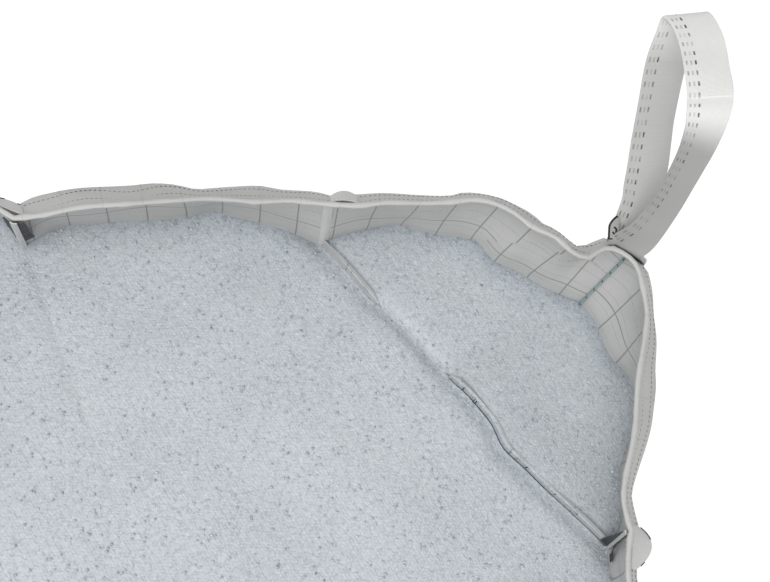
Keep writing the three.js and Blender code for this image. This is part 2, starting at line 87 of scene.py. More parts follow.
bpy.ops.object.camera_add()
camera = bpy.context.object
camera.matrix_world = Matrix.Translation(CAMERA_PLACE) @ turned.to_4x4()
camera.data.sensor_width = 36
camera.data.lens = FOCAL_LENGTH * camera.data.sensor_width / FRAME_WIDTH
bpy.context.scene.camera = camera
print("lens", round(camera.data.lens, 2), "mm")

# %% [markdown]
# The object stands on a white floor under soft light: a pale sky all round, and one large soft
# box high over it. So large a light gives only the faint shadows that show creases. The floor is
# of the kind that is lit from below, as for catalogue pictures, so that it stays white all round.

# %% Floor and light
FLOOR_SIZE, FLOOR_DROP = 14, 0.0006
SKY_STRENGTH = 0.52
SOFT_BOX = {"place": (-2.2, -2.6, 7.6), "aim": (0.1, 0.1, 0.8), "size": 6.0, "power": 425}

scene = bpy.context.scene
scene.view_settings.view_transform = "Standard"
scene.world = bpy.data.worlds.new("studio sky")
scene.world.use_nodes = True
sky = scene.world.node_tree.nodes["Background"]
sky.inputs["Color"].default_value = (1, 1, 1, 1)
sky.inputs["Strength"].default_value = SKY_STRENGTH

bpy.ops.object.light_add(type="AREA", location=SOFT_BOX["place"])
soft_box = bpy.context.object
soft_box.data.size = SOFT_BOX["size"]
soft_box.data.energy = SOFT_BOX["power"]
aim = Vector(SOFT_BOX["aim"]) - soft_box.location
soft_box.rotation_euler = aim.to_track_quat("-Z", "Y").to_euler()

bpy.ops.mesh.primitive_plane_add(size=FLOOR_SIZE, location=(0, 0, -FLOOR_DROP))
floor = bpy.context.object
floor.name = "floor"

# %% [markdown]
# Every finish is made of nodes. Colours are written as sRGB hex values, as a paint chart gives
# them, and the shader wants linear light, so one function turns them over. A second small function
# adds any node with its settings and its links, and gives back the output that the next one needs.


# %% Helpers for materials
def linear(hex_colour):
    shares = [int(hex_colour[i:i + 2], 16) / 255 for i in (0, 2, 4)]
    return [s / 12.92 if s <= 0.04045 else ((s + 0.055) / 1.055) ** 2.4 for s in shares] + [1]


def add_node(tree, kind, feeds, out=0, **settings):
    node = tree.nodes.new("ShaderNode" + kind)
    for name, value in settings.items():
        setattr(node, name, value)
    for socket, value in feeds.items():
        if isinstance(value, bpy.types.NodeSocket):
            tree.links.new(value, node.inputs[socket])
        else:
            node.inputs[socket].default_value = value
    return node.outputs[out]


COLOURS = {"out": 2, "data_type": "RGBA"}
SMOOTH = {"interpolation_type": "SMOOTHSTEP"}
TIMES, ABSOLUTE, MINUS, LARGER, BACK_AND_FORTH = (
    {"operation": name} for name in ("MULTIPLY", "ABSOLUTE", "SUBTRACT", "MAXIMUM", "PINGPONG"))


def new_material(name, roughness, ior=1.5):
    material = bpy.data.materials.new(name)
    material.use_nodes = True
    shader = material.node_tree.nodes["Principled BSDF"]
    shader.inputs["Roughness"].default_value = roughness
    shader.inputs["IOR"].default_value = ior
    return material, material.node_tree, shader


def lines(tree, coordinate, pitch, width, soft):
    """1 on a line at every multiple of the pitch, 0 between the lines"""
    distance = add_node(tree, "Math", {0: coordinate, 1: pitch / 2}, **BACK_AND_FORTH)
    return add_node(tree, "MapRange", {
        0: distance, 1: width / 2, 2: width / 2 + soft, 3: 1, 4: 0}, **SMOOTH)


def weave_coordinates(tree):
    uv = add_node(tree, "UVMap", {}, uv_map="weave")
    parts = add_node(tree, "SeparateXYZ", {0: uv}).node.outputs
    return uv, parts[0], parts[1]


def lit_sheet(name, colour, glow):
    """A milky plastic sheet that is lit from below"""
    material, tree, shader = new_material(name, 0.9)
    shader.inputs["Base Color"].default_value = linear(colour)
    shader.inputs["Emission Color"].default_value = (1, 1, 1, 1)
    shader.inputs["Emission Strength"].default_value = glow
    return material


floor.data.materials.append(lit_sheet("milky acrylic studio floor", "74747a", 0.92))

# %% [markdown]
# The cloth is woven from flat polypropylene tapes, each about 2.5 mm wide, so that it shows a fine
# chequer of warp and weft. Every 50 mm a dark tape with carbon in it runs up the wall, to lead
# static charge away. A thinner one crosses it every 22.5 mm, and each third of those is stronger.
# They are worn off where the rim is rolled. All of it follows the piece's own UV map, "weave",
# which is laid out in metres on the flat cloth. So the pattern bends with every crease.
# Polypropylene has an IOR of 1.49, and drawn tape is satin.

# %% Woven cloth
TAPE_WIDTH = 0.0025
CARBON_WIDTH = 0.0013
CROSS = {"pitch": 0.0225, "width": 0.0007, "share": 0.3}
STRONG_CROSS = {"pitch": 0.0675, "phase": 0.0105, "width": 0.0014, "share": 1.0}
RIM_FOLD = {"middle": 1.0905, "half": 0.024, "soft": 0.012, "left": 0.15}
FIBRE_STRETCH = (900, 40, 1)


def woven_cloth(name, light, dark, carbon, carbon_share, carbon_pitch, phase=0.0):
    material, tree, shader = new_material(name, 0.55, 1.49)
    uv, along, up = weave_coordinates(tree)
    chequer = add_node(tree, "TexChecker", {0: uv, 3: 1 / TAPE_WIDTH}, out=1)
    across_warp = add_node(tree, "Math", {0: along, 1: TAPE_WIDTH / 2}, **BACK_AND_FORTH)
    across_weft = add_node(tree, "Math", {0: up, 1: TAPE_WIDTH / 2}, **BACK_AND_FORTH)
    crown = add_node(tree, "Mix", {0: chequer, 2: across_warp, 3: across_weft})
    crown = add_node(tree, "Math", {0: crown, 1: 2 / TAPE_WIDTH}, **TIMES)
    place = add_node(tree, "TexCoord", {}, out="Object")
    cloud = add_node(tree, "TexNoise", {0: place, 2: 9.0, 3: 4.0})
    fibre = add_node(tree, "Mapping", {0: uv, 3: FIBRE_STRETCH})
    streak = add_node(tree, "TexNoise", {0: fibre, 2: 1.0, 3: 2.0})
    shade = add_node(tree, "Mix", {0: 0.3, 2: cloud, 3: streak})
    shade = add_node(tree, "MapRange", {0: shade, 1: 0.38, 2: 0.62, 3: 0, 4: 1})
    colour = add_node(tree, "Mix", {0: shade, 6: linear(dark), 7: linear(light)}, **COLOURS)
    shifted = add_node(tree, "Math", {0: along, 1: phase}, **MINUS)
    warp_line = lines(tree, shifted, carbon_pitch, CARBON_WIDTH, 0.0006)
    weft_line = lines(tree, up, CROSS["pitch"], CROSS["width"], 0.0005)
    weft_line = add_node(tree, "Math", {0: weft_line, 1: CROSS["share"]}, **TIMES)
    raised = add_node(tree, "Math", {0: up, 1: STRONG_CROSS["phase"]}, **MINUS)
    strong_line = lines(tree, raised, STRONG_CROSS["pitch"], STRONG_CROSS["width"], 0.0005)
    strong_line = add_node(tree, "Math", {0: strong_line, 1: STRONG_CROSS["share"]}, **TIMES)
    weft_line = add_node(tree, "Math", {0: weft_line, 1: strong_line}, **LARGER)
    carbon_line = add_node(tree, "Math", {0: warp_line, 1: weft_line}, **LARGER)
    from_fold = add_node(tree, "Math", {0: up, 1: RIM_FOLD["middle"]}, **MINUS)
    from_fold = add_node(tree, "Math", {0: from_fold}, **ABSOLUTE)
    kept = add_node(tree, "MapRange", {
        0: from_fold, 1: RIM_FOLD["half"], 2: RIM_FOLD["half"] + RIM_FOLD["soft"],
        3: RIM_FOLD["left"] * carbon_share, 4: carbon_share})
    carbon_line = add_node(tree, "Math", {0: carbon_line, 1: kept}, **TIMES)
    colour = add_node(tree, "Mix", {0: carbon_line, 6: colour, 7: linear(carbon)}, **COLOURS)
    tree.links.new(colour, shader.inputs["Base Color"])
    bump = add_node(tree, "Bump", {"Strength": 0.2, "Distance": 0.00015, "Height": crown})
    tree.links.new(bump, shader.inputs["Normal"])
    return material


# %% [markdown]
# Lifting webbing is a dense narrow weave, 47 mm wide and 3 mm thick. Fine ribs cross it, and three
# columns of black marker yarns run beside one edge. A marker yarn dips under the weft and comes up
# again, so that it shows as a row of dashes, 5 mm long and 15 mm apart. Both legs are greyed,
# partly from handling and partly with painted shade where the strap turns from the light, the outer
# one more, so the colour goes by the place along the strap.

# %% Webbing
RIB_PITCH = 0.0016
MARKER = {"first": 0.0034, "spacing": 0.0047, "width": 0.0019, "strengths": (0.6, 0.4, 1.0)}
MARKER_PITCH = 0.0150
MARKER_LENGTH = 0.0050
# The strap is darker up to its crease and on its last leg: partly real grey from handling, partly
# painted shade
SOIL_AND_SHADE_UP_TO, CLEAN_AND_LIT_FROM = 0.455, 0.512
BACK_SOIL_AND_SHADE = {"from": 0.66, "to": 0.74, "share": 0.70}
SOIL_AND_SHADE_COLOUR = "8f908e"
THREAD_STRETCH = (700, 90, 1)


def ribbed_webbing(name, light, dark, marker, strengths=(), soil_and_shade=0.0):
    material, tree, shader = new_material(name, 0.5, 1.57)
    uv, across, along = weave_coordinates(tree)
    ribs = add_node(tree, "Math", {0: along, 1: RIB_PITCH / 2}, **BACK_AND_FORTH)
    ribs = add_node(tree, "Math", {0: ribs, 1: 2 / RIB_PITCH}, **TIMES)
    threads = add_node(tree, "Mapping", {0: uv, 3: THREAD_STRETCH})
    streak = add_node(tree, "TexNoise", {0: threads, 2: 1.0, 3: 3.0})
    colour = add_node(tree, "Mix", {0: streak, 6: linear(dark), 7: linear(light)}, **COLOURS)
    on_rib = add_node(tree, "Math", {0: ribs, 1: 0.2}, **TIMES)
    colour = add_node(tree, "Mix", {0: on_rib, 6: colour, 7: linear(light)}, **COLOURS)
    place = add_node(tree, "TexCoord", {}, out="Object")
    # Painted shade, partly real grey from handling, set by the place along the strap
    front = add_node(tree, "MapRange", {
        0: along, 1: SOIL_AND_SHADE_UP_TO, 2: CLEAN_AND_LIT_FROM, 3: soil_and_shade, 4: 0.0}, **SMOOTH)
    back = add_node(tree, "MapRange", {
        0: along, 1: BACK_SOIL_AND_SHADE["from"], 2: BACK_SOIL_AND_SHADE["to"], 3: 0.0, 4: soil_and_shade * BACK_SOIL_AND_SHADE["share"]})
    darkened = add_node(tree, "Math", {0: front, 1: back}, **LARGER)
    colour = add_node(tree, "Mix", {0: darkened, 6: colour, 7: linear(SOIL_AND_SHADE_COLOUR)}, **COLOURS)
    dashes = lines(tree, along, MARKER_PITCH, MARKER_LENGTH, 0.0012)
    patchy = add_node(tree, "TexNoise", {0: place, 2: 60.0, 3: 2.0})
    worn = add_node(tree, "MapRange", {0: patchy, 1: 0.35, 2: 0.62, 3: 0.3, 4: 1.0})
    for column, strength in enumerate(strengths):
        middle = MARKER["first"] + column * MARKER["spacing"]
        off = add_node(tree, "Math", {0: across, 1: middle}, **MINUS)
        off = add_node(tree, "Math", {0: off}, **ABSOLUTE)
        inside = add_node(tree, "MapRange", {
            0: off, 1: MARKER["width"] / 2 - 0.0003, 2: MARKER["width"] / 2 + 0.0003, 3: 1, 4: 0})
        dash = add_node(tree, "Math", {0: inside, 1: dashes}, **TIMES)
        dash = add_node(tree, "Math", {0: dash, 1: strength}, **TIMES)
        dash = add_node(tree, "Math", {0: dash, 1: worn}, **TIMES)
        colour = add_node(tree, "Mix", {0: dash, 6: colour, 7: linear(marker)}, **COLOURS)
    tree.links.new(colour, shader.inputs["Base Color"])
    bump = add_node(tree, "Bump", {"Strength": 0.6, "Distance": 0.0004, "Height": ribs})
    tree.links.new(bump, shader.inputs["Normal"])
    return material


# %% [markdown]
# The other finishes are smaller. Granules are cut from an extruded strand of polyethylene: milky,
# a little blue, and satin. Each one has its own tone in a mesh attribute, which also carries
# painted shade. Thread and cord are twisted fibre, so they are matt. The bonding cloth is black
# with carbon.

# %% Granules, thread, cord and black cloth
FLECK_PITCH = 0.021
FLECK_LENGTH = 0.0026
CORD_STRETCH = (900, 300, 1)


def cut_granules(name, light, dark):
    material, tree, shader = new_material(name, 0.55, 1.51)
    tone = add_node(tree, "Attribute", {}, out="Fac", attribute_name="tone")
    place = add_node(tree, "TexCoord", {}, out="Object")
    cloud = add_node(tree, "TexNoise", {0: place, 2: 7.0, 3: 3.0})
    cloud = add_node(tree, "Math", {0: cloud, 1: 0.5}, **MINUS)
    cloud = add_node(tree, "Math", {0: cloud, 1: 0.25}, **TIMES)
    shade = add_node(tree, "Math", {0: tone, 1: cloud}, operation="ADD")
    colour = add_node(tree, "Mix", {0: shade, 6: linear(dark), 7: linear(light)}, **COLOURS)
    tree.links.new(colour, shader.inputs["Base Color"])
    return material


def twisted_thread(name, light, dark, scale):
    material, tree, shader = new_material(name, 0.75)
    place = add_node(tree, "TexCoord", {}, out="Object")
    fibre = add_node(tree, "TexNoise", {0: place, 2: scale, 3: 2.0})
    fibre = add_node(tree, "MapRange", {0: fibre, 1: 0.4, 2: 0.6, 3: 0, 4: 1})
    colour = add_node(tree, "Mix", {0: fibre, 6: linear(dark), 7: linear(light)}, **COLOURS)
    tree.links.new(colour, shader.inputs["Base Color"])
    return material


def flecked_cord(name, light, dark, fleck):
    """Twisted cord with a dark fleck where one of its yarns comes round"""
    material, tree, shader = new_material(name, 0.75)
    uv, round_it, along = weave_coordinates(tree)
    fibre = add_node(tree, "Mapping", {0: uv, 3: CORD_STRETCH})
    streak = add_node(tree, "TexNoise", {0: fibre, 2: 1.0, 3: 2.0})
    colour = add_node(tree, "Mix", {0: streak, 6: linear(dark), 7: linear(light)}, **COLOURS)
    turning = add_node(tree, "Math", {0: along, 1: round_it}, operation="ADD")
    spot = lines(tree, turning, FLECK_PITCH, FLECK_LENGTH, 0.0008)
    spot = add_node(tree, "Math", {0: spot, 1: 0.8}, **TIMES)
    colour = add_node(tree, "Mix", {0: spot, 6: colour, 7: linear(fleck)}, **COLOURS)
    tree.links.new(colour, shader.inputs["Base Color"])
    return material


WALL_CARBON = {"carbon_pitch": 0.0492, "phase": 0.009}
BAFFLE_CARBON = {"carbon_pitch": 0.101, "phase": 0.043}

PLAIN_CLOTH = woven_cloth(
    "woven polypropylene cloth", "c4c4c2", "b9b9b7", "4d5052", 0.55, **WALL_CARBON)
# The baffle cloth has its own carbon pitch, and its base colour is darker than the walls' as
# painted shade on the upright sheet
SHADED_BAFFLE_CLOTH = woven_cloth(
    "woven polypropylene baffle cloth", "bebfbe", "aeb0b0", "63686a", 0.55, **BAFFLE_CARBON)
BLACK_CLOTH = woven_cloth(
    "carbon black woven cloth", "2e3032", "1d1f20", "101112", 0.5, **WALL_CARBON)
# The webbing's darker legs are partly painted shade
WEBBING = ribbed_webbing(
    "woven polyester webbing", "f3f3f0", "e6e6e3", "34373a", MARKER["strengths"], soil_and_shade=0.80)
TAPE = ribbed_webbing("woven polypropylene tape", "d4d5d3", "c2c3c1", "7b7e80")
SOILED_TAPE = ribbed_webbing("soiled woven polypropylene tape", "b2b3b0", "989996", "7b7e80")
GRANULES = cut_granules("cut polyethylene granules", "d1d6db", "949ca2")
HEM_THREAD = twisted_thread("grey sewing thread", "53575a", "35393c", 900)
PALE_THREAD = twisted_thread("white sewing thread", "cfcfcc", "aeafad", 900)
SEAM_YARN = flecked_cord("blue grey filler cord", "9eb0b5", "83969c", "3a474b")
BLACK_YARN = twisted_thread("black conductive yarn", "2c2e30", "141516", 700)

# %% [markdown]
# All of the cloth follows one outline. Seen from above, each wall bulges between its seams, and
# the four walls repeat by quarter turns. Five outlines are blended by height: the base, the full
# body, the granules' edge, the flared hem and the rim. They are given in millimetres, as the
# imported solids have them, and a smooth curve through them is sampled at equal steps. "middle" is
# the part between the seams, as shares of the way and how far it stands off the straight line. The
# right wall's first seam stands elsewhere, so it has some lists of its own.

# %% Outline of the bag
MM = 0.001
WALLS = ("rear", "right", "front", "left")
CORNERS = ("rear_right", "front_right", "front_left", "rear_left")
RIM_HEIGHT = 1.100
CLOTH = 0.0015
GAP = 0.0003
HEM_LAYERS = 2 * CLOTH
BODY_START, BODY_END = 0.280, 0.600
FILL_EDGE = 0.930
HEM_FLARE = 1.055
MOUND = 0.030
PLANS = {
    "base": {
        "left": [(-475, 475), (-440, 502), (-330, 512), (-240, 514), (-176, 514)],
        "right_wall": {
            "left": [(-475, 475), (-440, 502), (-330, 512), (-240, 514), (-128, 524)],
        },
        "middle": [(0, 0), (0.25, 6), (0.5, 8), (0.75, 6), (1, 0)],
        "right": [(182, 512), (250, 513), (330, 511), (440, 501), (475, 475)],
    },
    "body": {
        "left": [(-437, 511), (-402, 540), (-330, 571), (-250, 566), (-182, 514)],
        "right_wall": {
            "left": [(-437, 511), (-402, 540), (-330, 571), (-250, 566), (-128, 524)],
        },
        "middle": [(0, 0), (0.11, 22), (0.25, 40), (0.5, 52), (0.75, 40), (0.89, 22), (1, 0)],
        "right": [(182, 512), (240, 545), (320, 556), (400, 518), (468, 469), (511, 437)],
    },
    "fill": {
        "left": [(-435, 511), (-408, 530), (-363, 548), (-340, 567), (-300, 576), (-250, 568),
                 (-212, 541), (-186, 510)],
        "right_wall": {
            "left": [(-435, 511), (-408, 530), (-363, 548), (-340, 567), (-300, 576), (-250, 562),
                     (-220, 549), (-186, 546), (-160, 544), (-142, 538), (-125, 528)],
            "middle": [(0, 0), (0.07, 1), (0.145, 5), (0.26, 22), (0.37, 31), (0.51, 35),
                       (0.6, 43), (0.64, 46), (0.68, 40), (0.76, 32.5), (0.89, 17), (1, 0)],
        },
        "middle": [(0, 0), (0.11, 21), (0.23, 27), (0.37, 31), (0.51, 35), (0.6, 43), (0.64, 46),
                   (0.68, 40), (0.76, 32.5), (0.89, 17), (1, 0)],
        "right": [(182, 512), (194, 518), (226, 529), (258, 536), (282, 537), (321, 526),
                  (356, 523), (378, 517), (400, 490), (428, 477), (459, 457), (484, 446),
                  (511, 435)],
    },
    "hem": {
        "left": [(-459, 536), (-451, 550), (-438, 559), (-406, 563), (-367, 562), (-321, 560),
                 (-296, 560), (-247, 549), (-217, 537), (-196, 522), (-184, 514)],
        "right_wall": {
            "left": [(-459, 536), (-451, 551), (-440, 560), (-424, 563), (-406, 564), (-387, 563),
                     (-356, 564), (-321, 561), (-298, 561), (-275, 557), (-251, 551), (-223, 539),
                     (-204, 530), (-183, 522), (-172, 520), (-160, 522), (-150, 524), (-141, 526),
                     (-128, 527)],
            "middle": [(0, 0), (0.065, -5), (0.113, -6), (0.17, -7.5), (0.3, 2), (0.43, 12.7),
                       (0.5, 13.5), (0.57, 7.3), (0.64, 9.6), (0.77, 12), (0.84, 6.4),
                       (0.95, 1.8), (1, 0)],
        },
        "middle": [(0, 0), (0.058, 12.8), (0.126, 17.3), (0.24, 20.5), (0.37, 23.5), (0.43, 24.9),
                   (0.5, 21.5), (0.57, 14.3), (0.64, 15.3), (0.77, 15.5), (0.84, 9.4),
                   (0.95, 5.8), (1, 0)],
        "right": [(181, 532), (205, 534), (236, 535), (280, 532), (326, 535), (337, 539),
                  (357, 539), (385, 531.5), (404, 521), (423, 509), (433, 499), (442, 495),
                  (452, 490), (461, 483), (470, 476), (479, 471), (490, 476), (501, 480),
                  (512, 482), (536, 459)],
    },
    "rim": {
        "left": [(-453, 519), (-443, 532), (-427, 540), (-395, 544), (-375, 544), (-355, 540),
                 (-295, 527), (-240, 519), (-205, 507), (-178, 490)],
        "right_wall": {
            "left": [(-453, 519), (-443, 532), (-427, 540), (-395, 544), (-375, 544), (-355, 540),
                     (-295, 527), (-240, 519), (-211, 512), (-189, 506), (-165, 501), (-150, 502),
                     (-128, 507)],
            "middle": [(0, 0), (0.04, -3.5), (0.087, -6.5), (0.136, -7.2), (0.188, -5.5),
                       (0.31, 5), (0.42, 11.3), (0.5, 11.5), (0.6, 12.8), (0.68, 10.5),
                       (0.76, 6.3), (0.89, 5.1), (1, 0)],
        },
        "middle": [(0, 0), (0.1, 2.5), (0.21, 8.4), (0.31, 11.7), (0.42, 13), (0.5, 13), (0.6, 14),
                   (0.68, 11.5), (0.76, 7), (0.89, 5.5), (1, 0)],
        "right": [(180, 509), (209, 508), (238, 511), (276, 511), (315, 514), (346, 517),
                  (367, 513), (394, 500), (413, 485), (442, 471), (460, 453), (476, 445),
                  (490, 453), (503, 459), (519, 453)],
    },
}
SECTION_STEPS = 32
WALL_STEPS = 3 * SECTION_STEPS
CURVE_SAMPLES = 40


def smoothstep(value, low, high):
    t = np.clip((value - low) / (high - low), 0, 1)
    return t * t * (3 - 2 * t)


def run_along(line):
    """How far along a line each of its points lies"""
    return np.concatenate([[0], np.cumsum(np.linalg.norm(np.diff(line, axis=0), axis=1))])


def spaced(points, steps):
    """Points at equal steps along a centripetal Catmull-Rom curve"""
    p = np.array(points, float)
    p = np.vstack([2 * p[0] - p[1], p, 2 * p[-1] - p[-2]])
    t = np.linspace(0, 1, CURVE_SAMPLES, endpoint=False)[:, None]
    pieces = []
    for a, b, c, d in zip(p, p[1:], p[2:], p[3:]):
        ab, bc, cd = (math.sqrt(np.linalg.norm(v)) for v in (b - a, c - b, d - c))
        start = bc * ((b - a) / ab - (c - a) / (ab + bc) + (c - b) / bc)
        end = bc * ((c - b) / bc - (d - b) / (bc + cd) + (d - c) / cd)
        pieces.append((2 * t**3 - 3 * t**2 + 1) * b + (t**3 - 2 * t**2 + t) * start
                      + (3 * t**2 - 2 * t**3) * c + (t**3 - t**2) * end)
    line = np.vstack(pieces + [p[-2:-1]])
    run = run_along(line)
    at = np.linspace(0, run[-1], steps + 1)
    return np.stack([np.interp(at, run, line[:, k]) for k in range(line.shape[1])], axis=1)


def wall_outline(plan, wall):
    own = plan.get(f"{WALLS[wall]}_wall", {})
    start = spaced(own.get("left", plan["left"]), SECTION_STEPS)
    end = spaced(plan["right"], SECTION_STEPS)
    share, out = np.array(own.get("middle", plan["middle"]), float).T
    chord = start[-1] + (end[0] - start[-1]) * share[:, None]
    middle = spaced(chord + np.stack([0 * out, out], axis=1), SECTION_STEPS)
    points = np.vstack([start, middle[1:-1], end[:-1]])
    cosine, sine = ((1, 0), (0, -1), (-1, 0), (0, 1))[wall]
    return np.stack([points[:, 0] * cosine - points[:, 1] * sine,
                     points[:, 0] * sine + points[:, 1] * cosine], axis=1)


OUTLINES = {name: MM * np.vstack([wall_outline(plan, wall) for wall in range(4)])
            for name, plan in PLANS.items()}
RING_SIZE = 4 * WALL_STEPS
CORNER_AT = [(wall + 1) * WALL_STEPS for wall in range(4)]
FIRST_LINE_AT = [wall * WALL_STEPS + SECTION_STEPS for wall in range(4)]
SECOND_LINE_AT = [wall * WALL_STEPS + 2 * SECTION_STEPS for wall in range(4)]


def outline_shares(z):
    """How much of each outline the cloth has at a height"""
    rounded = np.clip((BODY_START - z) / BODY_START, 0, 1) ** 2
    filled = smoothstep(z, BODY_END, FILL_EDGE)
    flared = smoothstep(z, FILL_EDGE, HEM_FLARE)
    leaning = smoothstep(z, HEM_FLARE, RIM_HEIGHT)
    return {"base": rounded, "body": 1 - rounded - filled, "fill": filled - flared,
            "hem": flared - leaning, "rim": leaning}


RUN = run_along(np.vstack([OUTLINES["body"], OUTLINES["body"][:1]]))
seams = RUN[sorted([0, RING_SIZE] + CORNER_AT[:-1] + FIRST_LINE_AT + SECOND_LINE_AT)]
SEAM_DISTANCE = np.min(np.abs(RUN[:-1, None] - seams[None, :]), axis=1)
print("once round the body", round(RUN[-1], 3), "m")

# %% [markdown]
# Real cloth is never smooth. Below the fill line it is tight over the granules and shows fine
# level creases. Above it hangs free, in broader folds. Both are sums of a few seeded waves that
# fade out at the seams, because a seam is held straight by its stitches. The same function gives
# the edge of the granules, so the fill always meets the cloth.

# %% Creases of the cloth


def waves(along, up, seed, length, height, count=7):
    """A seeded sum of waves about as long and as high as asked, from -1 to 1 or so"""
    rng = np.random.default_rng(seed)
    total = np.zeros(np.broadcast(along, up).shape)
    for _ in range(count):
        turns = rng.uniform(0.6, 1.5) / length * rng.choice([-1, 1])
        rises = rng.uniform(0.6, 1.5) / height
        total = total + np.sin(2 * math.pi * (turns * along + rises * up) + rng.uniform(0, 7))
    return total / math.sqrt(count / 2) * 0.6


TIGHT = {"seed": 11, "length": 0.42, "height": 0.085, "depth": 0.0022}
LOOSE = {"seed": 23, "length": 0.16, "height": 0.20, "depth": 0.0018}
PUCKER = {"seed": 5, "length": 0.11, "height": 0.034, "depth": 0.0016}
SEAM_HOLD = 0.055
PUCKER_REACH = 0.05
FREE_FROM, FREE_AT = FILL_EDGE - 0.05, FILL_EDGE + 0.06
FOOT_HEIGHT = 0.05
RIM_SAG = 0.002
SAG_HOLD = 0.12


def crease(along, seam_distance, z):
    free = smoothstep(z, FREE_FROM, FREE_AT)
    held = smoothstep(seam_distance, 0, SEAM_HOLD)
    tight, loose, pucker = (
        kind["depth"] * waves(along, z, kind["seed"], kind["length"], kind["height"])
        for kind in (TIGHT, LOOSE, PUCKER))
    near_seam = held * np.exp(-seam_distance / PUCKER_REACH) * (2 - 1.4 * free)
    settle = smoothstep(z, 0.0, FOOT_HEIGHT)
    return settle * (held * ((1 - free) * tight + free * loose) + near_seam * pucker)


def sag(along, seam_distance, z):
    held = smoothstep(seam_distance, 0, SAG_HOLD)
    dip = 0.5 + 0.5 * waves(along, 0 * z, 41, 0.5, 1.0)
    return -RIM_SAG * held * np.clip(dip, 0, 1) * smoothstep(z, FILL_EDGE, RIM_HEIGHT)


def unit(vectors):
    return vectors / np.linalg.norm(vectors, axis=-1, keepdims=True)


def cloth_points(at, z, offset):
    """Points of the cloth at ring places "at" (fractions of a step allowed), heights and offsets"""
    at, z, offset = np.broadcast_arrays(np.asarray(at, float), z, offset)
    shares = outline_shares(z)

    def ring(step):
        first = np.floor(at + step).astype(int)
        part = (at + step - first)[..., None]
        return sum(shares[name][..., None] * (
            (1 - part) * line[first % RING_SIZE] + part * line[(first + 1) % RING_SIZE])
            for name, line in OUTLINES.items())

    here = ring(0)
    tangent = unit(ring(0.75) - ring(-0.75))
    normal = np.stack([-tangent[..., 1], tangent[..., 0]], axis=-1)
    places = np.arange(RING_SIZE + 1)
    along = np.interp(at % RING_SIZE, places, RUN)
    distance = np.interp(at % RING_SIZE, places, [*SEAM_DISTANCE, SEAM_DISTANCE[0]])
    flat = here + normal * (offset + crease(along, distance, z))[..., None]
    points = np.concatenate([flat, (z + sag(along, distance, z))[..., None]], axis=-1)
    normals = np.concatenate([normal, np.zeros(normal.shape[:-1] + (1,))], axis=-1)
    return points, normals


THREE_ROUNDS = np.concatenate([RUN[:-1] - RUN[-1], RUN[:-1], RUN + RUN[-1]])


def ring_place(at, metres):
    """The ring place that lies that far along the cloth from another"""
    places = np.arange(len(THREE_ROUNDS)) - RING_SIZE
    return np.interp(RUN[at % RING_SIZE] + metres, THREE_ROUNDS, places)


# %% [markdown]
# A sheet starts as Blender's grid primitive. Its vertices are then moved to the places that a
# function works out, row by row, and a UV map is laid on it in metres of flat cloth. The Solidify
# modifier gives it thickness. A primitive is quick to move because its rows and columns are known.
# A grid that is rolled up, as for a cord, has its meeting points merged and its ends filled.

# %% Helpers for sheets
MERGE_REACH, FINE_MERGE_REACH = 0.00005, 0.00002


def select_only(piece):
    bpy.ops.object.select_all(action="DESELECT")
    piece.select_set(True)
    bpy.context.view_layer.objects.active = piece


def apply_modifier(piece, kind, **settings):
    select_only(piece)
    modifier = piece.modifiers.new(kind.lower(), kind)
    for name, value in settings.items():
        setattr(modifier, name, value)
    bpy.ops.object.modifier_apply(modifier=modifier.name)


def grid_piece(name, places, weave):
    rows, columns = places.shape[:2]
    bpy.ops.object.select_all(action="DESELECT")
    bpy.ops.mesh.primitive_grid_add(x_subdivisions=columns - 1, y_subdivisions=rows - 1, size=1)
    piece = bpy.context.object
    piece.name = piece.data.name = name
    piece.data.vertices.foreach_set("co", places.reshape(-1).astype(np.float32))
    corners = np.zeros(len(piece.data.loops), int)
    piece.data.loops.foreach_get("vertex_index", corners)
    layer = piece.data.uv_layers[0]
    layer.name = "weave"
    layer.data.foreach_set("uv", weave.reshape(-1, 2)[corners].reshape(-1).astype(np.float32))
    piece.data.update()
    return piece


def mesh_piece(name, points, faces):
    mesh = bpy.data.meshes.new(name)
    mesh.from_pydata(points, [], faces.tolist())
    mesh.update(calc_edges=True)
    mesh.shade_smooth()
    piece = bpy.data.objects.new(name, mesh)
    bpy.context.collection.objects.link(piece)
    return piece


def store(mesh, name, kind, domain, values):
    """Stores a value for each point, edge or face of a mesh"""
    layer = mesh.attributes.new(name, kind, domain)
    layer.data.foreach_set("value", np.asarray(values, bool if kind == "BOOLEAN" else np.float32))


def flat_metres(across, up):
    """Places on the flat cloth in metres, for the UV map"""
    return np.stack(np.broadcast_arrays(across, up), axis=-1)


def merge_doubles(piece, reach, fill_ends=False):
    """Merges the points of a rolled grid that meet, and can fill the ends that stay open"""
    select_only(piece)
    bpy.ops.object.mode_set(mode="EDIT")
    bpy.ops.mesh.select_all(action="SELECT")
    bpy.ops.mesh.remove_doubles(threshold=reach)
    bpy.ops.mesh.select_all(action="DESELECT")
    if fill_ends:
        bpy.ops.mesh.select_non_manifold()
        bpy.ops.mesh.fill(use_beauty=False)
    bpy.ops.object.mode_set(mode="OBJECT")


def face_outwards(piece, smooth_angle=40):
    select_only(piece)
    bpy.ops.object.mode_set(mode="EDIT")
    bpy.ops.mesh.select_all(action="SELECT")
    bpy.ops.mesh.normals_make_consistent(inside=False)
    bpy.ops.object.mode_set(mode="OBJECT")
    bpy.ops.object.shade_smooth_by_angle(angle=math.radians(smooth_angle))


def dress(piece, material, slot, *nodes):
    piece.data.materials.clear()
    piece.data.materials.append(material)
    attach(piece, "root")
    if nodes:
        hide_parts(*nodes)
    return piece


def thicken(piece, thickness, smooth_angle=40):
    apply_modifier(piece, "SOLIDIFY", thickness=thickness, offset=0, use_even_offset=True)
    face_outwards(piece, smooth_angle)


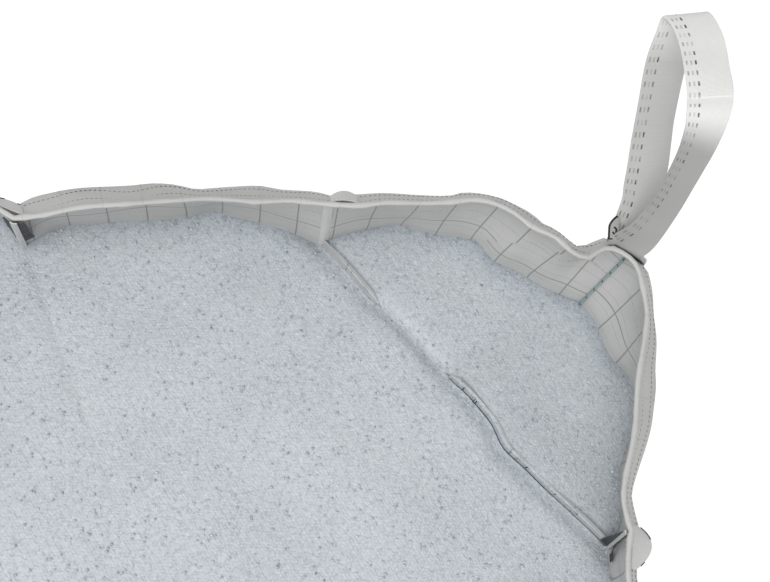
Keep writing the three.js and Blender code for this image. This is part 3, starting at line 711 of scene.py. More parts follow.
# %% [markdown]
# Each wall is one sheet. It goes up the outside, rolls over a bead at the rim and comes down on
# the inside, where it is sewn. That is how the real hem is folded, so the double layer and the
# round rim come from the path of the sheet and not from a separate piece. The fold is 178 mm deep
# over most of a wall and some 90 mm at one end, so the height of its edge is listed.

# %% Walls with their rolled hem
CLOTH_BOTTOM = CLOTH + GAP
HEM_DEPTH = 0.098
HEM_EDGE = [(0, 0.922), (0.84, 0.922), (0.872, 0.972), (0.914, 1.028), (0.956, 1.010), (1, 1.010)]
BEAD_CENTRE = RIM_HEIGHT - 0.0032
BEAD_RADIUS = 0.0025
BEAD_SWELL = 0.0008
BEAD_TURN = (-55, 235)
BEAD_ROWS = 14
WALL_ROWS = 104
HEM_ROWS = 11
SHEET_THICKNESS = 0.0012
WALL_FLAT = (1.08, 1.260)
HEM_SKEW = 0.003
WEAVE_SHIFT = {"rear": 0.0, "right": 0.021, "front": 0.008, "left": 0.015}


def wall_path():
    """Offset from the cloth's outer face, and height, along the sheet from the floor to the hem"""
    heights = np.linspace(CLOTH_BOTTOM, BEAD_CENTRE - 0.005, WALL_ROWS)
    up = np.stack([np.full(WALL_ROWS, -CLOTH / 2), heights], axis=1)
    turn = np.radians(np.linspace(*BEAD_TURN, BEAD_ROWS))
    bead = [-CLOTH, BEAD_CENTRE] + BEAD_RADIUS * np.stack([np.cos(turn), np.sin(turn)], axis=1)
    back = np.linspace(BEAD_CENTRE - 0.006, RIM_HEIGHT - HEM_DEPTH, HEM_ROWS)
    fold = np.stack([np.full(HEM_ROWS, -HEM_LAYERS + CLOTH / 2), back], axis=1)
    return np.vstack([up, bead, fold])


def make_wall(wall):
    path = wall_path()
    at = wall * WALL_STEPS + np.arange(WALL_STEPS + 1)
    rolled = np.zeros((len(path), 1))
    rolled[WALL_ROWS:WALL_ROWS + BEAD_ROWS] = 1
    coarse = waves(RUN[at][None, :], path[:, 1:2], 61, 0.035, 0.05, 9)
    fine = waves(RUN[at][None, :], path[:, 1:2], 62, 0.012, 0.03, 9)
    swell = BEAD_SWELL * np.clip(coarse + 0.5 * fine, 0, 2)
    towards = np.sign(path[:, 0:1] + CLOTH)
    turned = np.zeros((len(path), 1))
    turned[-HEM_ROWS:, 0] = np.linspace(0, 1, HEM_ROWS)
    hem_edge = np.interp(np.linspace(0, 1, WALL_STEPS + 1), *np.array(HEM_EDGE).T)
    deeper = turned * (RIM_HEIGHT - HEM_DEPTH - hem_edge[None, :])
    places, _ = cloth_points(
        at[None, :], path[:, 1:2] + 0.4 * rolled * swell - deeper,
        path[:, 0:1] + rolled * swell * towards)
    length = run_along(path)
    along = RUN[at] - RUN[SECOND_LINE_AT[wall]] + WEAVE_SHIFT[WALLS[wall]]
    scale = WALL_FLAT[0] / (RUN[at[-1]] - RUN[at[0]])
    skew = HEM_SKEW * (np.arange(len(path)) >= WALL_ROWS + BEAD_ROWS)[:, None]
    weave = flat_metres(along[None, :] * scale - skew, length[:, None] + deeper)
    piece = grid_piece(f"wall_cloth_{WALLS[wall]}", places, weave)
    thicken(piece, SHEET_THICKNESS)
    return dress(piece, PLAIN_CLOTH, "woven_cloth", f"panel_{WALLS[wall]}")


walls = [make_wall(wall) for wall in range(4)]
print("wall vertices", [len(piece.data.vertices) for piece in walls])

# %% [markdown]
# The base is a flat sheet, sewn to the foot of the walls. Only its edge and its underside can be
# seen. It is a grid rolled up into rings, each a smaller copy of the walls' outline. The small hole
# that the last ring leaves is filled, and Solidify gives it the cloth's thickness.

# %% Base
BASE_RINGS = 12
BASE_HOLE = 0.02


def make_base():
    shares = np.linspace(1, BASE_HOLE, BASE_RINGS)[:, None, None]
    outline = np.vstack([OUTLINES["base"], OUTLINES["base"][:1]])
    flat = outline[None, :, :] * shares
    places = np.concatenate([flat, np.full(flat.shape[:2] + (1,), CLOTH / 2)], axis=-1)
    piece = grid_piece("base_cloth", places, flat)
    merge_doubles(piece, MERGE_REACH)
    inner = 1.5 * BASE_HOLE * np.abs(outline).max()
    for vertex in piece.data.vertices:
        vertex.select = math.hypot(vertex.co.x, vertex.co.y) < inner
    bpy.ops.object.mode_set(mode="EDIT")
    bpy.ops.mesh.edge_face_add()
    bpy.ops.object.mode_set(mode="OBJECT")
    thicken(piece, SHEET_THICKNESS)
    return dress(piece, PLAIN_CLOTH, "woven_cloth", "base_panel")


base = make_base()
print("base vertices", len(base.data.vertices))

# %% [markdown]
# A baffle is a flat sheet across a corner, from one wall's seam to the next wall's. Round holes let
# the granules flow through it. They are cut with a Boolean modifier after the sheet has thickness,
# so that their rims are closed. The granules press on it, so its top edge wanders by a few
# millimetres. That wandering is listed along the edge. The edge dips under the granules for a part
# of its way, and the rear left sheet ends so low that they bury all of it. Where the sheet stops,
# flat tape carries its second line on up the wall. A black gusset and a narrow tie, stretched from
# the sheet's end to the rim, carry its first.

# %% Baffles
BAFFLE_BOTTOM = 0.120
BAFFLE_PROUD = [0.016, 0.016, 0.016, -0.020]
BAFFLE_CROWN = [0.010, 0.010, 0.010, 0.0]
BURIED = 3
COVERED = [(0.17, 0.23), (0.42, 0.48)]
COVERED_DROP = 0.020
BAFFLE_LEAN = 0.004
BAFFLE_DRIFT = [
    (0, 0), (0.056, -0.5), (0.118, -2.5), (0.19, -4.5), (0.254, -3.6), (0.334, -2.5), (0.41, -3.8),
    (0.505, 0), (0.6, -2.5), (0.62, -5.7), (0.665, -13.8), (0.73, -10.7), (0.8, -9.5),
    (0.875, -4.9), (0.95, -2), (1, 0),
]
BAFFLE_COLUMNS = 91
BAFFLE_ROWS = 46
FLOW_HOLE = {"radius": 0.050, "column_pitch": 0.220, "rows": 3, "row_pitch": 0.240,
             "first": 0.270}
ON_WALL = -(CLOTH + GAP + SHEET_THICKNESS / 2)
ON_HEM = -(HEM_LAYERS + GAP + SHEET_THICKNESS / 2)
LINE_TAPE = {"bottom": FILL_EDGE - 0.020, "top": RIM_HEIGHT - 0.010, "thickness": 0.0012}
TAPE_GRID, GUSSET_GRID = (40, 5), (30, 5)
TIE_LIFT = 0.0030
SECOND_TAPE_HALF = 0.0055
FIRST_TAPE_HALF = 0.0033
GUSSET = {"bottom": FILL_EDGE - 0.010, "top": 1.085, "wide": 0.0135, "narrow": 0.0030}
GUSSET_WANDER = 0.0012
THIN_CLOTH = 0.0008


def baffle_ends(corner, z, offset=ON_WALL):
    start, _ = cloth_points(SECOND_LINE_AT[corner], z, offset)
    end, _ = cloth_points(FIRST_LINE_AT[(corner + 1) % 4] + RING_SIZE * (corner == 3), z, offset)
    return start, end


def baffle_frame(corner):
    start, end = baffle_ends(corner, np.array(BODY_END))
    span = np.linalg.norm((end - start)[:2])
    along = (end - start)[:2] / span
    outwards = np.array([-along[1], along[0]])
    return (start + end)[:2] / 2, along, outwards, span


def covered(corner, t):
    """1 where granules have run over the baffle's edge, 0 where it stands out"""
    if corner == BURIED:
        return np.ones_like(t)
    return smoothstep(t, *COVERED[0]) * (1 - smoothstep(t, *COVERED[1]))


def baffle_top(corner, t):
    top = FILL_EDGE + BAFFLE_PROUD[corner] + BAFFLE_CROWN[corner] * (1 - np.abs(2 * t - 1))
    return top - COVERED_DROP * (corner != BURIED) * covered(corner, t)


def baffle_drift(t, z):
    """How far the sheet stands outwards of its flat place, at its top edge above all"""
    shares, outs = np.array(BAFFLE_DRIFT).T
    drift = MM * sum(np.interp(t + step, shares, outs) for step in (-0.015, 0, 0.015)) / 3
    ends = smoothstep(np.minimum(t, 1 - t), 0, 0.10)
    lean = BAFFLE_LEAN * smoothstep(z, FILL_EDGE - 0.01, FILL_EDGE + 0.03)
    return ends * (drift * smoothstep(z, 0.75, FILL_EDGE) + lean)


def make_baffle(corner):
    t = np.linspace(0, 1, BAFFLE_COLUMNS)[None, :]
    rise = np.linspace(0, 1, BAFFLE_ROWS)[:, None] ** 0.8
    z = BAFFLE_BOTTOM + (baffle_top(corner, t) - BAFFLE_BOTTOM) * rise
    start, end = baffle_ends(corner, z)
    places = start + (end - start) * t[..., None]
    middle, along, outwards, span = baffle_frame(corner)
    places[..., :2] += baffle_drift(t, z)[..., None] * outwards
    places[..., 2] = z
    piece = grid_piece(f"baffle_cloth_{CORNERS[corner]}", places, flat_metres(t * span, z))
    thicken(piece, SHEET_THICKNESS)
    cut_flow_holes(piece, middle, along, outwards)
    face_outwards(piece)
    return dress(piece, SHADED_BAFFLE_CLOTH, "woven_cloth", f"baffle_{CORNERS[corner]}")


def cut_flow_holes(piece, middle, along, outwards):
    cutters = []
    direction = Vector((*outwards, 0)).to_track_quat("Z", "Y").to_euler()
    for column in (-0.5, 0.5):
        spot = middle + along * column * FLOW_HOLE["column_pitch"]
        for row in range(FLOW_HOLE["rows"]):
            height = FLOW_HOLE["first"] + row * FLOW_HOLE["row_pitch"]
            bpy.ops.mesh.primitive_cylinder_add(
                vertices=32, radius=FLOW_HOLE["radius"], depth=0.06,
                location=(*spot, height), rotation=direction)
            cutters.append(bpy.context.object)
    select_only(cutters[0])
    for cutter in cutters[1:]:
        cutter.select_set(True)
    bpy.ops.object.join()
    apply_modifier(piece, "BOOLEAN", operation="DIFFERENCE", object=cutters[0])
    bpy.data.objects.remove(cutters[0])


def on_inner_face(z, lift=0.0):
    """Offset of a thin piece that lies on the wall's inside, and on its hem higher up"""
    return ON_WALL + (ON_HEM - ON_WALL) * smoothstep(z, 0.990, 1.002) - lift


def tie_points(line, steps, z, lift):
    """Points on straight ties from the granules' edge to the bead, a little off the wall"""
    at = ring_place(line, steps)
    low, _ = cloth_points(at, FILL_EDGE, ON_WALL - lift)
    high, _ = cloth_points(at, RIM_HEIGHT, ON_HEM - lift)
    share = (z - FILL_EDGE) / (RIM_HEIGHT - FILL_EDGE)
    places = low + (high - low) * share[..., None]
    places[..., 2] = z
    return places


def make_line_tape(name, line, half):
    z = np.linspace(LINE_TAPE["bottom"], LINE_TAPE["top"], TAPE_GRID[0])[:, None]
    steps = np.linspace(-half, half, TAPE_GRID[1])[None, :]
    if line in FIRST_LINE_AT:
        places = tie_points(line, steps, z, TIE_LIFT)
    else:
        places, _ = cloth_points(ring_place(line, steps), z, on_inner_face(z))
    tape = grid_piece(name, places, flat_metres(steps + half, z))
    thicken(tape, LINE_TAPE["thickness"])
    return dress(tape, TAPE, "webbing")


def make_gusset(corner):
    z = np.linspace(GUSSET["bottom"], GUSSET["top"], GUSSET_GRID[0])[:, None]
    line = FIRST_LINE_AT[(corner + 1) % 4]
    edge = tie_points(line, np.zeros((1, 1)), z, TIE_LIFT / 2)
    _, along, outwards, _ = baffle_frame(corner)
    share = (z - z[0]) / (z[-1] - z[0])
    width = GUSSET["wide"] + (GUSSET["narrow"] - GUSSET["wide"]) * share
    steps = np.linspace(0, 1, GUSSET_GRID[1])[None, :] * width
    wander = GUSSET_WANDER * waves(z, z, 70 + corner, 0.09, 0.09) * steps / GUSSET["wide"]
    places = edge - np.array([*along, 0]) * steps[..., None]
    places = places + np.array([*outwards, 0]) * wander[..., None]
    piece = grid_piece(f"black_gusset_{CORNERS[corner]}", places, flat_metres(steps, z))
    thicken(piece, THIN_CLOTH)
    return dress(piece, BLACK_CLOTH, "black_cloth")


baffles = [make_baffle(corner) for corner in range(4)]
for wall in range(4):
    make_line_tape(f"line_tape_{WALLS[wall]}_second", SECOND_LINE_AT[wall], SECOND_TAPE_HALF)
    make_line_tape(f"line_tape_{WALLS[wall]}_first", FIRST_LINE_AT[wall], FIRST_TAPE_HALF)
gussets = [make_gusset(corner) for corner in range(4) if corner != BURIED]
print("baffle vertices", [len(piece.data.vertices) for piece in baffles])
print("gussets", len(gussets))

# %% [markdown]
# The granules are the largest thing in view. A picture of grain on a smooth heap would look flat
# from close by, so every granule on the surface is a small dome: one high point inside a six-sided
# cell, with the cell's edges marked sharp. Cells come from a triangular lattice whose points are
# jittered by a seeded generator. Six triangles a granule is all that a heap of 70,000 can afford.

# %% Surface of the heap
GRANULE_PITCH = 0.0044
GRANULE_JITTER = 0.40
LATTICE_BEND = 0.0012
BORDER_REACH = 0.0075
DOME_HEIGHT = 0.0008
DOME_SPREAD = 0.0003
CORNER_SPREAD = 0.0002
# Sunken granules get a darker tone, and a share of cell corners a much darker one: both painted
# shade between granules
SUNKEN = {"share": 0.06, "depth": 0.0006, "tone": 0.75}
SHADED = {"share": 0.14, "tone": 0.55}
SLOT_CLEAR = SHEET_THICKNESS / 2 - 0.0001
LAYER_BOTTOM = 0.908
LAYER_DRAWN_IN = 0.98
BAFFLE_DIP = {"depth": 0.009, "reach": 0.016}
POCKET_RISE = {"height": 0.007, "reach": 0.060}
COVERED_DIP = {"depth": 0.005, "reach": 0.012}
UNEVEN = {"height": 0.0022, "length": 0.22}
# Cell corners sit in the valleys between granules, and their lower tone is painted shade
CELL_TONE, CORNER_TONE = (0.72, 0.06), (0.66, 0.09)
# Painted shade on granules by the walls, and painted shade with some dust by a covered baffle's
# edge
WALL_SHADE = {"share": 0.56, "reach": 0.016}
EDGE_DUST_AND_SHADE = {"share": 0.32, "reach": 0.009, "inwards": 0.004}

edge_points, _ = cloth_points(np.arange(RING_SIZE), FILL_EDGE, -CLOTH)
edge_angle = np.arctan2(edge_points[:, 1], edge_points[:, 0])
edge_order = np.argsort(edge_angle)
EDGE_ANGLES = edge_angle[edge_order]
EDGE_RADII = np.hypot(edge_points[:, 0], edge_points[:, 1])[edge_order]
BAFFLE_FRAMES = [baffle_frame(corner) for corner in range(4)]


def edge_radius(x, y):
    return np.interp(np.arctan2(y, x), EDGE_ANGLES, EDGE_RADII, period=2 * math.pi)


def past_baffle(corner, x, y):
    """How far a point lies outwards of the baffle's top edge, and its place t along it"""
    middle, along, outwards, span = BAFFLE_FRAMES[corner]
    dx, dy = x - middle[0], y - middle[1]
    t = (dx * along[0] + dy * along[1]) / span + 0.5
    return dx * outwards[0] + dy * outwards[1] - baffle_drift(t, np.array(FILL_EDGE)), t


def heap_height(x, y):
    share = np.hypot(x, y) / edge_radius(x, y)
    z = FILL_EDGE + MOUND * (1 - np.clip(share, 0, 1) ** 2)
    bumps = UNEVEN["height"] * waves(x, y, 81, UNEVEN["length"], UNEVEN["length"])
    z = z + bumps * smoothstep(1 - share, 0, 0.2)
    for corner in range(BURIED):
        past, t = past_baffle(corner, x, y)
        over = covered(corner, t)
        dip = BAFFLE_DIP["depth"] * np.exp(-(past / BAFFLE_DIP["reach"]) ** 2) * (past <= 0)
        rise = POCKET_RISE["height"] * np.exp(-(past / POCKET_RISE["reach"]) ** 2) * (past > 0)
        z = z + (1 - over) * (rise - dip)
        z = z - COVERED_DIP["depth"] * over * np.exp(-(past / COVERED_DIP["reach"]) ** 2)
    return z


# %% [markdown]
# The lattice is built once as arrays. Each cell then goes to a zone: one of the three pockets
# behind the baffles that stand out, or a quarter of the rest. Points that would cross a baffle or a
# wall are moved back to it. Every zone becomes a slab by extruding its rim down in edit mode and
# filling it. The granules by the walls have a darker tone that is painted shade, and those over a
# covered baffle one that is painted shade with some dust.

# %% Zones of the heap


def lattice():
    rng = np.random.default_rng(7)
    reach = EDGE_RADII.max() + 3 * GRANULE_PITCH
    row_pitch = GRANULE_PITCH * math.sqrt(3) / 2
    half_rows = int(reach / row_pitch)
    half_columns = int(reach / GRANULE_PITCH)
    j = np.arange(-half_rows, half_rows + 1)
    i = np.arange(-half_columns, half_columns + 1)
    x = i[None, :] * GRANULE_PITCH + (j[:, None] % 2) * GRANULE_PITCH / 2
    y = np.broadcast_to(j[:, None] * row_pitch, x.shape)
    jitter = rng.uniform(-1, 1, (2,) + x.shape) * GRANULE_JITTER * GRANULE_PITCH
    bend_x = LATTICE_BEND * waves(x, y, 301, 0.030, 0.030)
    bend_y = LATTICE_BEND * waves(x, y, 302, 0.030, 0.030)
    return np.stack([x + jitter[0] + bend_x, y + jitter[1] + bend_y], axis=-1), j % 2, rng


def cell_corners(centres, odd):
    """The six corners round each centre, each shared with two neighbouring cells"""
    rows, columns = centres.shape[:2]
    row = np.arange(rows)[:, None]
    column = np.arange(columns)[None, :]
    shift = odd[:, None]

    def pick(grid, r, c):
        return grid[np.clip(r, 0, rows - 1), np.clip(c, 0, columns - 1)]

    east = pick(centres, row, column + 1)
    upper = (centres + east + pick(centres, row + 1, column + shift)) / 3
    lower = (centres + east + pick(centres, row - 1, column + shift)) / 3
    upper_id = row * columns + column
    lower_id = upper_id + rows * columns
    west = column - 1 + shift
    ids = np.stack([
        upper_id, pick(lower_id, row + 1, west), pick(upper_id, row, column - 1),
        pick(lower_id, row, column - 1), pick(upper_id, row - 1, west), lower_id], axis=-1)
    return np.concatenate([upper.reshape(-1, 2), lower.reshape(-1, 2)]), ids


centres, odd_rows, rng = lattice()
corners, corner_ids = cell_corners(centres, odd_rows)
centres = centres.reshape(-1, 2)
corner_ids = corner_ids.reshape(-1, 6)
cell_tone = np.clip(rng.normal(*CELL_TONE, len(centres)), 0, 1)
cell_rise = rng.normal(0, DOME_SPREAD, len(centres))
sunken = rng.uniform(size=len(centres)) < SUNKEN["share"]
cell_rise[sunken] -= SUNKEN["depth"]
# painted shade on sunken granules
cell_tone[sunken] *= SUNKEN["tone"]
corner_drop = rng.normal(0, CORNER_SPREAD, len(corners))
# painted shade in the valleys, deeper at a share of the corners
corner_tone = np.clip(rng.normal(*CORNER_TONE, len(corners)), 0, 1)
corner_tone[rng.uniform(size=len(corners)) < SHADED["share"]] *= SHADED["tone"]

inside = np.hypot(*centres.T) < edge_radius(*centres.T) - 0.0006
pasts = np.stack([past_baffle(corner, *centres.T)[0] for corner in range(BURIED)])
clear = np.abs(pasts).min(axis=0) > SLOT_CLEAR
pocket = np.where(pasts.max(axis=0) > 0, pasts.argmax(axis=0), -1)
quarter = (centres[:, 0] > 0) * 1 + (centres[:, 1] > 0) * 2
print("granules on the surface", int((inside & clear).sum()))


def hold_back(points, pocket_of, on_border):
    """Moves points off the walls and baffles, and a zone's border right up to them"""
    points = points.copy()
    for corner in range(BURIED) if pocket_of < 0 else (pocket_of,):
        side = 1 if pocket_of == corner else -1
        past, t = past_baffle(corner, *points.T)
        room = side * past - SLOT_CLEAR * (1 - 2 * covered(corner, t))
        moved = (room < 0) | (on_border & (room < BORDER_REACH))
        points -= (side * room * moved)[:, None] * BAFFLE_FRAMES[corner][2]
    radius = np.maximum(np.hypot(*points.T), 1e-9)
    limit = edge_radius(*points.T)
    moved = (radius > limit) | (on_border & (radius > limit - BORDER_REACH))
    return points * np.where(moved, limit / radius, 1)[:, None]


def tone_with_shade_and_dust(points, tone):
    """The tone of granules, darker by painted shade at the walls, and by painted shade with some
    dust over a covered baffle
    """
    from_wall = edge_radius(*points.T) - np.hypot(*points.T)
    # painted shade by the walls
    tone = tone - WALL_SHADE["share"] * np.exp(-np.clip(from_wall, 0, 1) / WALL_SHADE["reach"])
    for corner in range(BURIED):
        past, t = past_baffle(corner, *points.T)
        near = np.exp(-((past + EDGE_DUST_AND_SHADE["inwards"]) / EDGE_DUST_AND_SHADE["reach"]) ** 2)
        tone = tone - EDGE_DUST_AND_SHADE["share"] * covered(corner, t) * near
    return tone


def make_zone(name, chosen, pocket_of):
    cells = np.nonzero(chosen)[0]
    used, local = np.unique(corner_ids[cells], return_inverse=True)
    local = local.reshape(-1, 6)
    rims = hold_back(corners[used], pocket_of, np.bincount(local.reshape(-1)) < 3)
    peaks = hold_back(centres[cells], pocket_of, np.zeros(len(cells), bool))
    rim_z = heap_height(*rims.T) - DOME_HEIGHT / 2 + corner_drop[used]
    peak_z = heap_height(*peaks.T) + DOME_HEIGHT / 2 + cell_rise[cells]
    vertices = np.vstack([np.column_stack([rims, rim_z]), np.column_stack([peaks, peak_z])])
    peak_ids = len(used) + np.arange(len(cells))
    faces = np.stack([
        np.repeat(peak_ids, 6), local.reshape(-1), np.roll(local, -1, axis=1).reshape(-1)], axis=1)
    piece = mesh_piece(name, vertices, faces)
    tone = np.concatenate([corner_tone[used], cell_tone[cells]])
    store(piece.data, "tone", "FLOAT", "POINT", tone_with_shade_and_dust(vertices[:, :2], tone))
    edges = np.zeros(2 * len(piece.data.edges), int)
    piece.data.edges.foreach_get("vertices", edges)
    sharp = (edges.reshape(-1, 2) < len(used)).all(axis=1)
    store(piece.data, "sharp_edge", "BOOLEAN", "EDGE", sharp)
    close_below(piece, rims.mean(axis=0) if pocket_of >= 0 else (0, 0))
    return piece


def close_below(piece, middle):
    """Extrudes the open rim down and inwards to the layer's flat underside and fills it"""
    select_only(piece)
    bpy.ops.object.mode_set(mode="EDIT")
    bpy.ops.mesh.select_mode(type="EDGE")
    bpy.ops.mesh.select_all(action="DESELECT")
    bpy.ops.mesh.select_non_manifold()
    bpy.ops.mesh.extrude_region_move(TRANSFORM_OT_translate={"value": (0, 0, -0.01)})
    bpy.ops.transform.resize(
        value=(LAYER_DRAWN_IN, LAYER_DRAWN_IN, 0), center_override=(*middle, LAYER_BOTTOM))
    bpy.ops.mesh.fill(use_beauty=False)
    bpy.ops.mesh.select_mode(type="VERT")
    bpy.ops.object.mode_set(mode="OBJECT")


heap_pieces = []
for corner in range(BURIED):
    zone = inside & clear & (pocket == corner)
    heap_pieces.append(make_zone(f"granules_pocket_{CORNERS[corner]}", zone, corner))
for index, name in enumerate(("front_left", "front_right", "rear_left", "rear_right")):
    zone = inside & clear & (pocket < 0) & (quarter == index)
    heap_pieces.append(make_zone(f"granules_middle_{name}", zone, -1))
for piece in heap_pieces:
    dress(piece, GRANULES, "granules")
print("heap triangles", sum(len(p.data.polygons) for p in heap_pieces))

# %% [markdown]
# Under that layer the granules need no grain, since no one sees them. One body fills the bag from
# its base to the layer. It is a grid that goes round inside the walls, with its ends filled.

# %% Body of the heap
CORE_ROWS = 16
CORE_OFF_WALL = 0.012
CORE_TONE = 0.3


def make_core():
    heights = np.linspace(CLOTH_BOTTOM + GAP, LAYER_BOTTOM - GAP, CORE_ROWS)[:, None]
    at = np.arange(RING_SIZE + 1)[None, :]
    places, _ = cloth_points(at, heights, -CORE_OFF_WALL)
    piece = grid_piece("granules_body", places, np.zeros(places.shape[:2] + (2,)))
    merge_doubles(piece, MERGE_REACH, fill_ends=True)
    store(piece.data, "tone", "FLOAT", "FACE", np.full(len(piece.data.polygons), CORE_TONE))
    face_outwards(piece)
    return dress(piece, GRANULES, "granules", "granules")


core = make_core()
print("body triangles", len(core.data.polygons))

# %% [markdown]
# A lifting loop is one strap. It is sewn flat to the outside of the corner with both ends, one on
# the other, and its free part stands up, creases and folds back over. Its centre line is a list of
# points, and its width turns from the corner's direction at the foot to level at the top.

# %% Lifting loops
STRAP_WIDTH = 0.047
STRAP_THICKNESS = 0.003
LEG_LENGTH = 0.250
LEG_STEPS = 30
FREE_STEPS = 56
STRAP_COLUMNS = 13
STRAP_ROUNDING = 0.0009
BEAD_PROUD = 0.0025
LOOP_FOOT_TO_CREASE = [
    (535.5, 464, 30, 0.82, -0.30, -0.48), (544.5, 476, 62, 0.78, -0.22, -0.58),
    (548, 485, 100, 0.78, -0.14, -0.60), (549, 494, 135, 0.80, -0.12, -0.58),
    (550.5, 502, 160, 0.83, -0.10, -0.54), (551, 511, 190, 0.89, -0.08, -0.44),
    (551, 524, 220, 0.97, -0.05, -0.23), (549, 537, 243, 0.99, -0.03, 0.12),
    (545, 541, 257, 0.95, -0.03, 0.28),
]
LOOP_CREASE_TO_FOOT = [
    (545, 541, 257, 0.95, -0.03, 0.28), (547, 552, 254, 0.96, -0.01, 0.25),
    (549, 577, 245, 0.98, 0.03, 0.14), (552, 602, 233, 0.97, -0.01, 0.20),
    (553, 623, 223, 0.96, 0, 0.25), (552, 645, 210, 0.96, 0, 0.26),
    (550, 658, 200, 0.97, 0.03, 0.24), (549, 663, 191, 0.98, 0.05, 0.15),
    (548, 661, 181, 1, 0.06, 0.05), (547, 656, 174, 1, 0.07, -0.03), (544, 646, 165, 1, 0.05, 0),
    (541, 634, 152, 1, 0.04, 0), (540, 622, 138, 1, 0.04, 0.01), (539, 608, 125, 1, 0.05, -0.05),
    (538, 593, 112, 0.99, 0.05, -0.10), (537, 575, 96, 0.99, 0.05, -0.09),
    (537, 558, 80, 1, 0, 0), (537, 535, 60, 1, -0.07, 0.06), (536, 517, 42, 0.99, -0.13, -0.05),
    (535, 501, 28, 0.96, -0.22, -0.18),
]


def over_rim(points):
    return np.array([(x * MM, y * MM, RIM_HEIGHT + h * MM) for x, y, h in points])


def leg_line(z, lift):
    """A line up the corner, clear of the bead at the rim, with its normals and level directions"""
    stand_off = GAP + (BEAD_PROUD + GAP) * smoothstep(z, FILL_EDGE, RIM_HEIGHT - 0.008)
    points, normals = cloth_points(CORNER_AT[0], z, stand_off + lift)
    return points, normals, np.stack([normals[:, 1], -normals[:, 0], 0 * normals[:, 0]], axis=1)


def rows_of(centres, widths):
    """Rows of a place in millimetres, over the rim, and the direction of the width there"""
    return np.hstack([(np.atleast_2d(centres) - [0, 0, RIM_HEIGHT]) / MM, np.atleast_2d(widths)])


def loop_stations():
    z = np.linspace(RIM_HEIGHT - LEG_LENGTH, RIM_HEIGHT, LEG_STEPS)
    up, _, up_widths = leg_line(z, STRAP_THICKNESS / 2)
    down, _, down_widths = leg_line(z, 1.5 * STRAP_THICKNESS + GAP)
    foot = rows_of(up[-1], up_widths[-1])
    rise = spaced(np.vstack([foot, LOOP_FOOT_TO_CREASE]), FREE_STEPS)
    foot = rows_of(down[-1], down_widths[-1])
    fall = spaced(np.vstack([LOOP_CREASE_TO_FOOT, foot]), 2 * FREE_STEPS)
    free = np.vstack([rise[1:], fall[1:-1]])
    centres = np.vstack([up, free[:, :3] * MM + [0, 0, RIM_HEIGHT], down[::-1]])
    widths = np.vstack([up_widths, unit(free[:, 3:]), down_widths[::-1]])
    return centres, widths


def turn_corner(points, corner):
    """Turns points of the rear right corner to another corner, by quarter turns"""
    angle = -corner * math.pi / 2
    x = points[..., 0] * math.cos(angle) - points[..., 1] * math.sin(angle)
    y = points[..., 0] * math.sin(angle) + points[..., 1] * math.cos(angle)
    return np.stack([x, y, points[..., 2]], axis=-1)


loop_centres, loop_widths = loop_stations()


def make_loop(corner):
    across = np.linspace(-STRAP_WIDTH / 2, STRAP_WIDTH / 2, STRAP_COLUMNS)
    places = loop_centres[:, None, :] + loop_widths[:, None, :] * across[None, :, None]
    weave = flat_metres(across[None, :] + STRAP_WIDTH / 2, run_along(loop_centres)[:, None])
    piece = grid_piece(f"lifting_strap_{CORNERS[corner]}", turn_corner(places, corner), weave)
    thicken(piece, STRAP_THICKNESS, 50)
    apply_modifier(piece, "BEVEL", width=STRAP_ROUNDING, segments=2, limit_method="ANGLE",
                   angle_limit=math.radians(60))
    return dress(piece, WEBBING, "webbing", f"lifting_loop_{CORNERS[corner]}")


loops = [make_loop(corner) for corner in range(4)]
print("straps", len(loops), "each", round(float(run_along(loop_centres)[-1]), 3), "m long")

# %% [markdown]
# Small tapes finish the rim. Where a baffle line ends, a short tape is sewn to the outside of the
# hem with both ends and bulges out between them. A black bonding patch lies inside the hem at each
# wall's first line. It is cut by hand, so its sides are listed by height. Both are small grids.

# %% Rim tapes and bonding patches
RIM_TAPE = {"top": 0.0070, "bottom": 0.026, "thickness": 0.0012}
REAR_FIRST_BULGE = {"centre": -0.007, "bulge": 0.002, "half": 0.018, "flat": 0.9}
FIRST_BULGE = {"centre": 0.0180, "bulge": 0.018, "half": 0.0255, "flat": 0.95}
SECOND_BULGE = {"centre": 0.0145, "bulge": 0.007, "half": 0.016, "flat": 0.5}
RIM_TAPE_GRID, PATCH_GRID = (9, 25), (34, 13)
PATCH_LIFT = 0.0008
PATCH_SIDES = [
    (0.955, -20, 14), (0.962, -20, 15), (0.985, -20, 13), (1.000, -19, 12), (1.030, -17, 12),
    (1.060, -16, 11), (1.074, -14, 10),
]
RIGHT_PATCH_SIDES = [
    (0.936, 9, 19), (0.950, 9, 19), (0.956, 8, 16), (0.966, 5, 11), (0.978, 3.5, 7.5),
    (1.000, 3, 5.5), (1.085, 3, 5),
]


def make_rim_tape(name, line, centre, bulge, half, flat):
    rows, columns = RIM_TAPE_GRID
    steps = np.linspace(-1, 1, columns)[None, :]
    z = RIM_HEIGHT - np.linspace(RIM_TAPE["bottom"], RIM_TAPE["top"], rows)[:, None]
    rise = np.cos(steps * math.pi / 2) ** 0.8
    crush = 1 - flat * (z - z[0]) / (z[-1] - z[0])
    stand_off = 2 * GAP + RIM_TAPE["thickness"] / 2
    start, start_normal = cloth_points(ring_place(line, centre - half), z, stand_off)
    end, end_normal = cloth_points(ring_place(line, centre + half), z, stand_off)
    outwards = unit(start_normal + end_normal)
    places = start + (end - start) * (steps[..., None] + 1) / 2
    places = places + outwards * (bulge * rise * crush)[..., None]
    piece = grid_piece(name, places, flat_metres(z - z[0], steps * half))
    thicken(piece, RIM_TAPE["thickness"])
    return piece, places


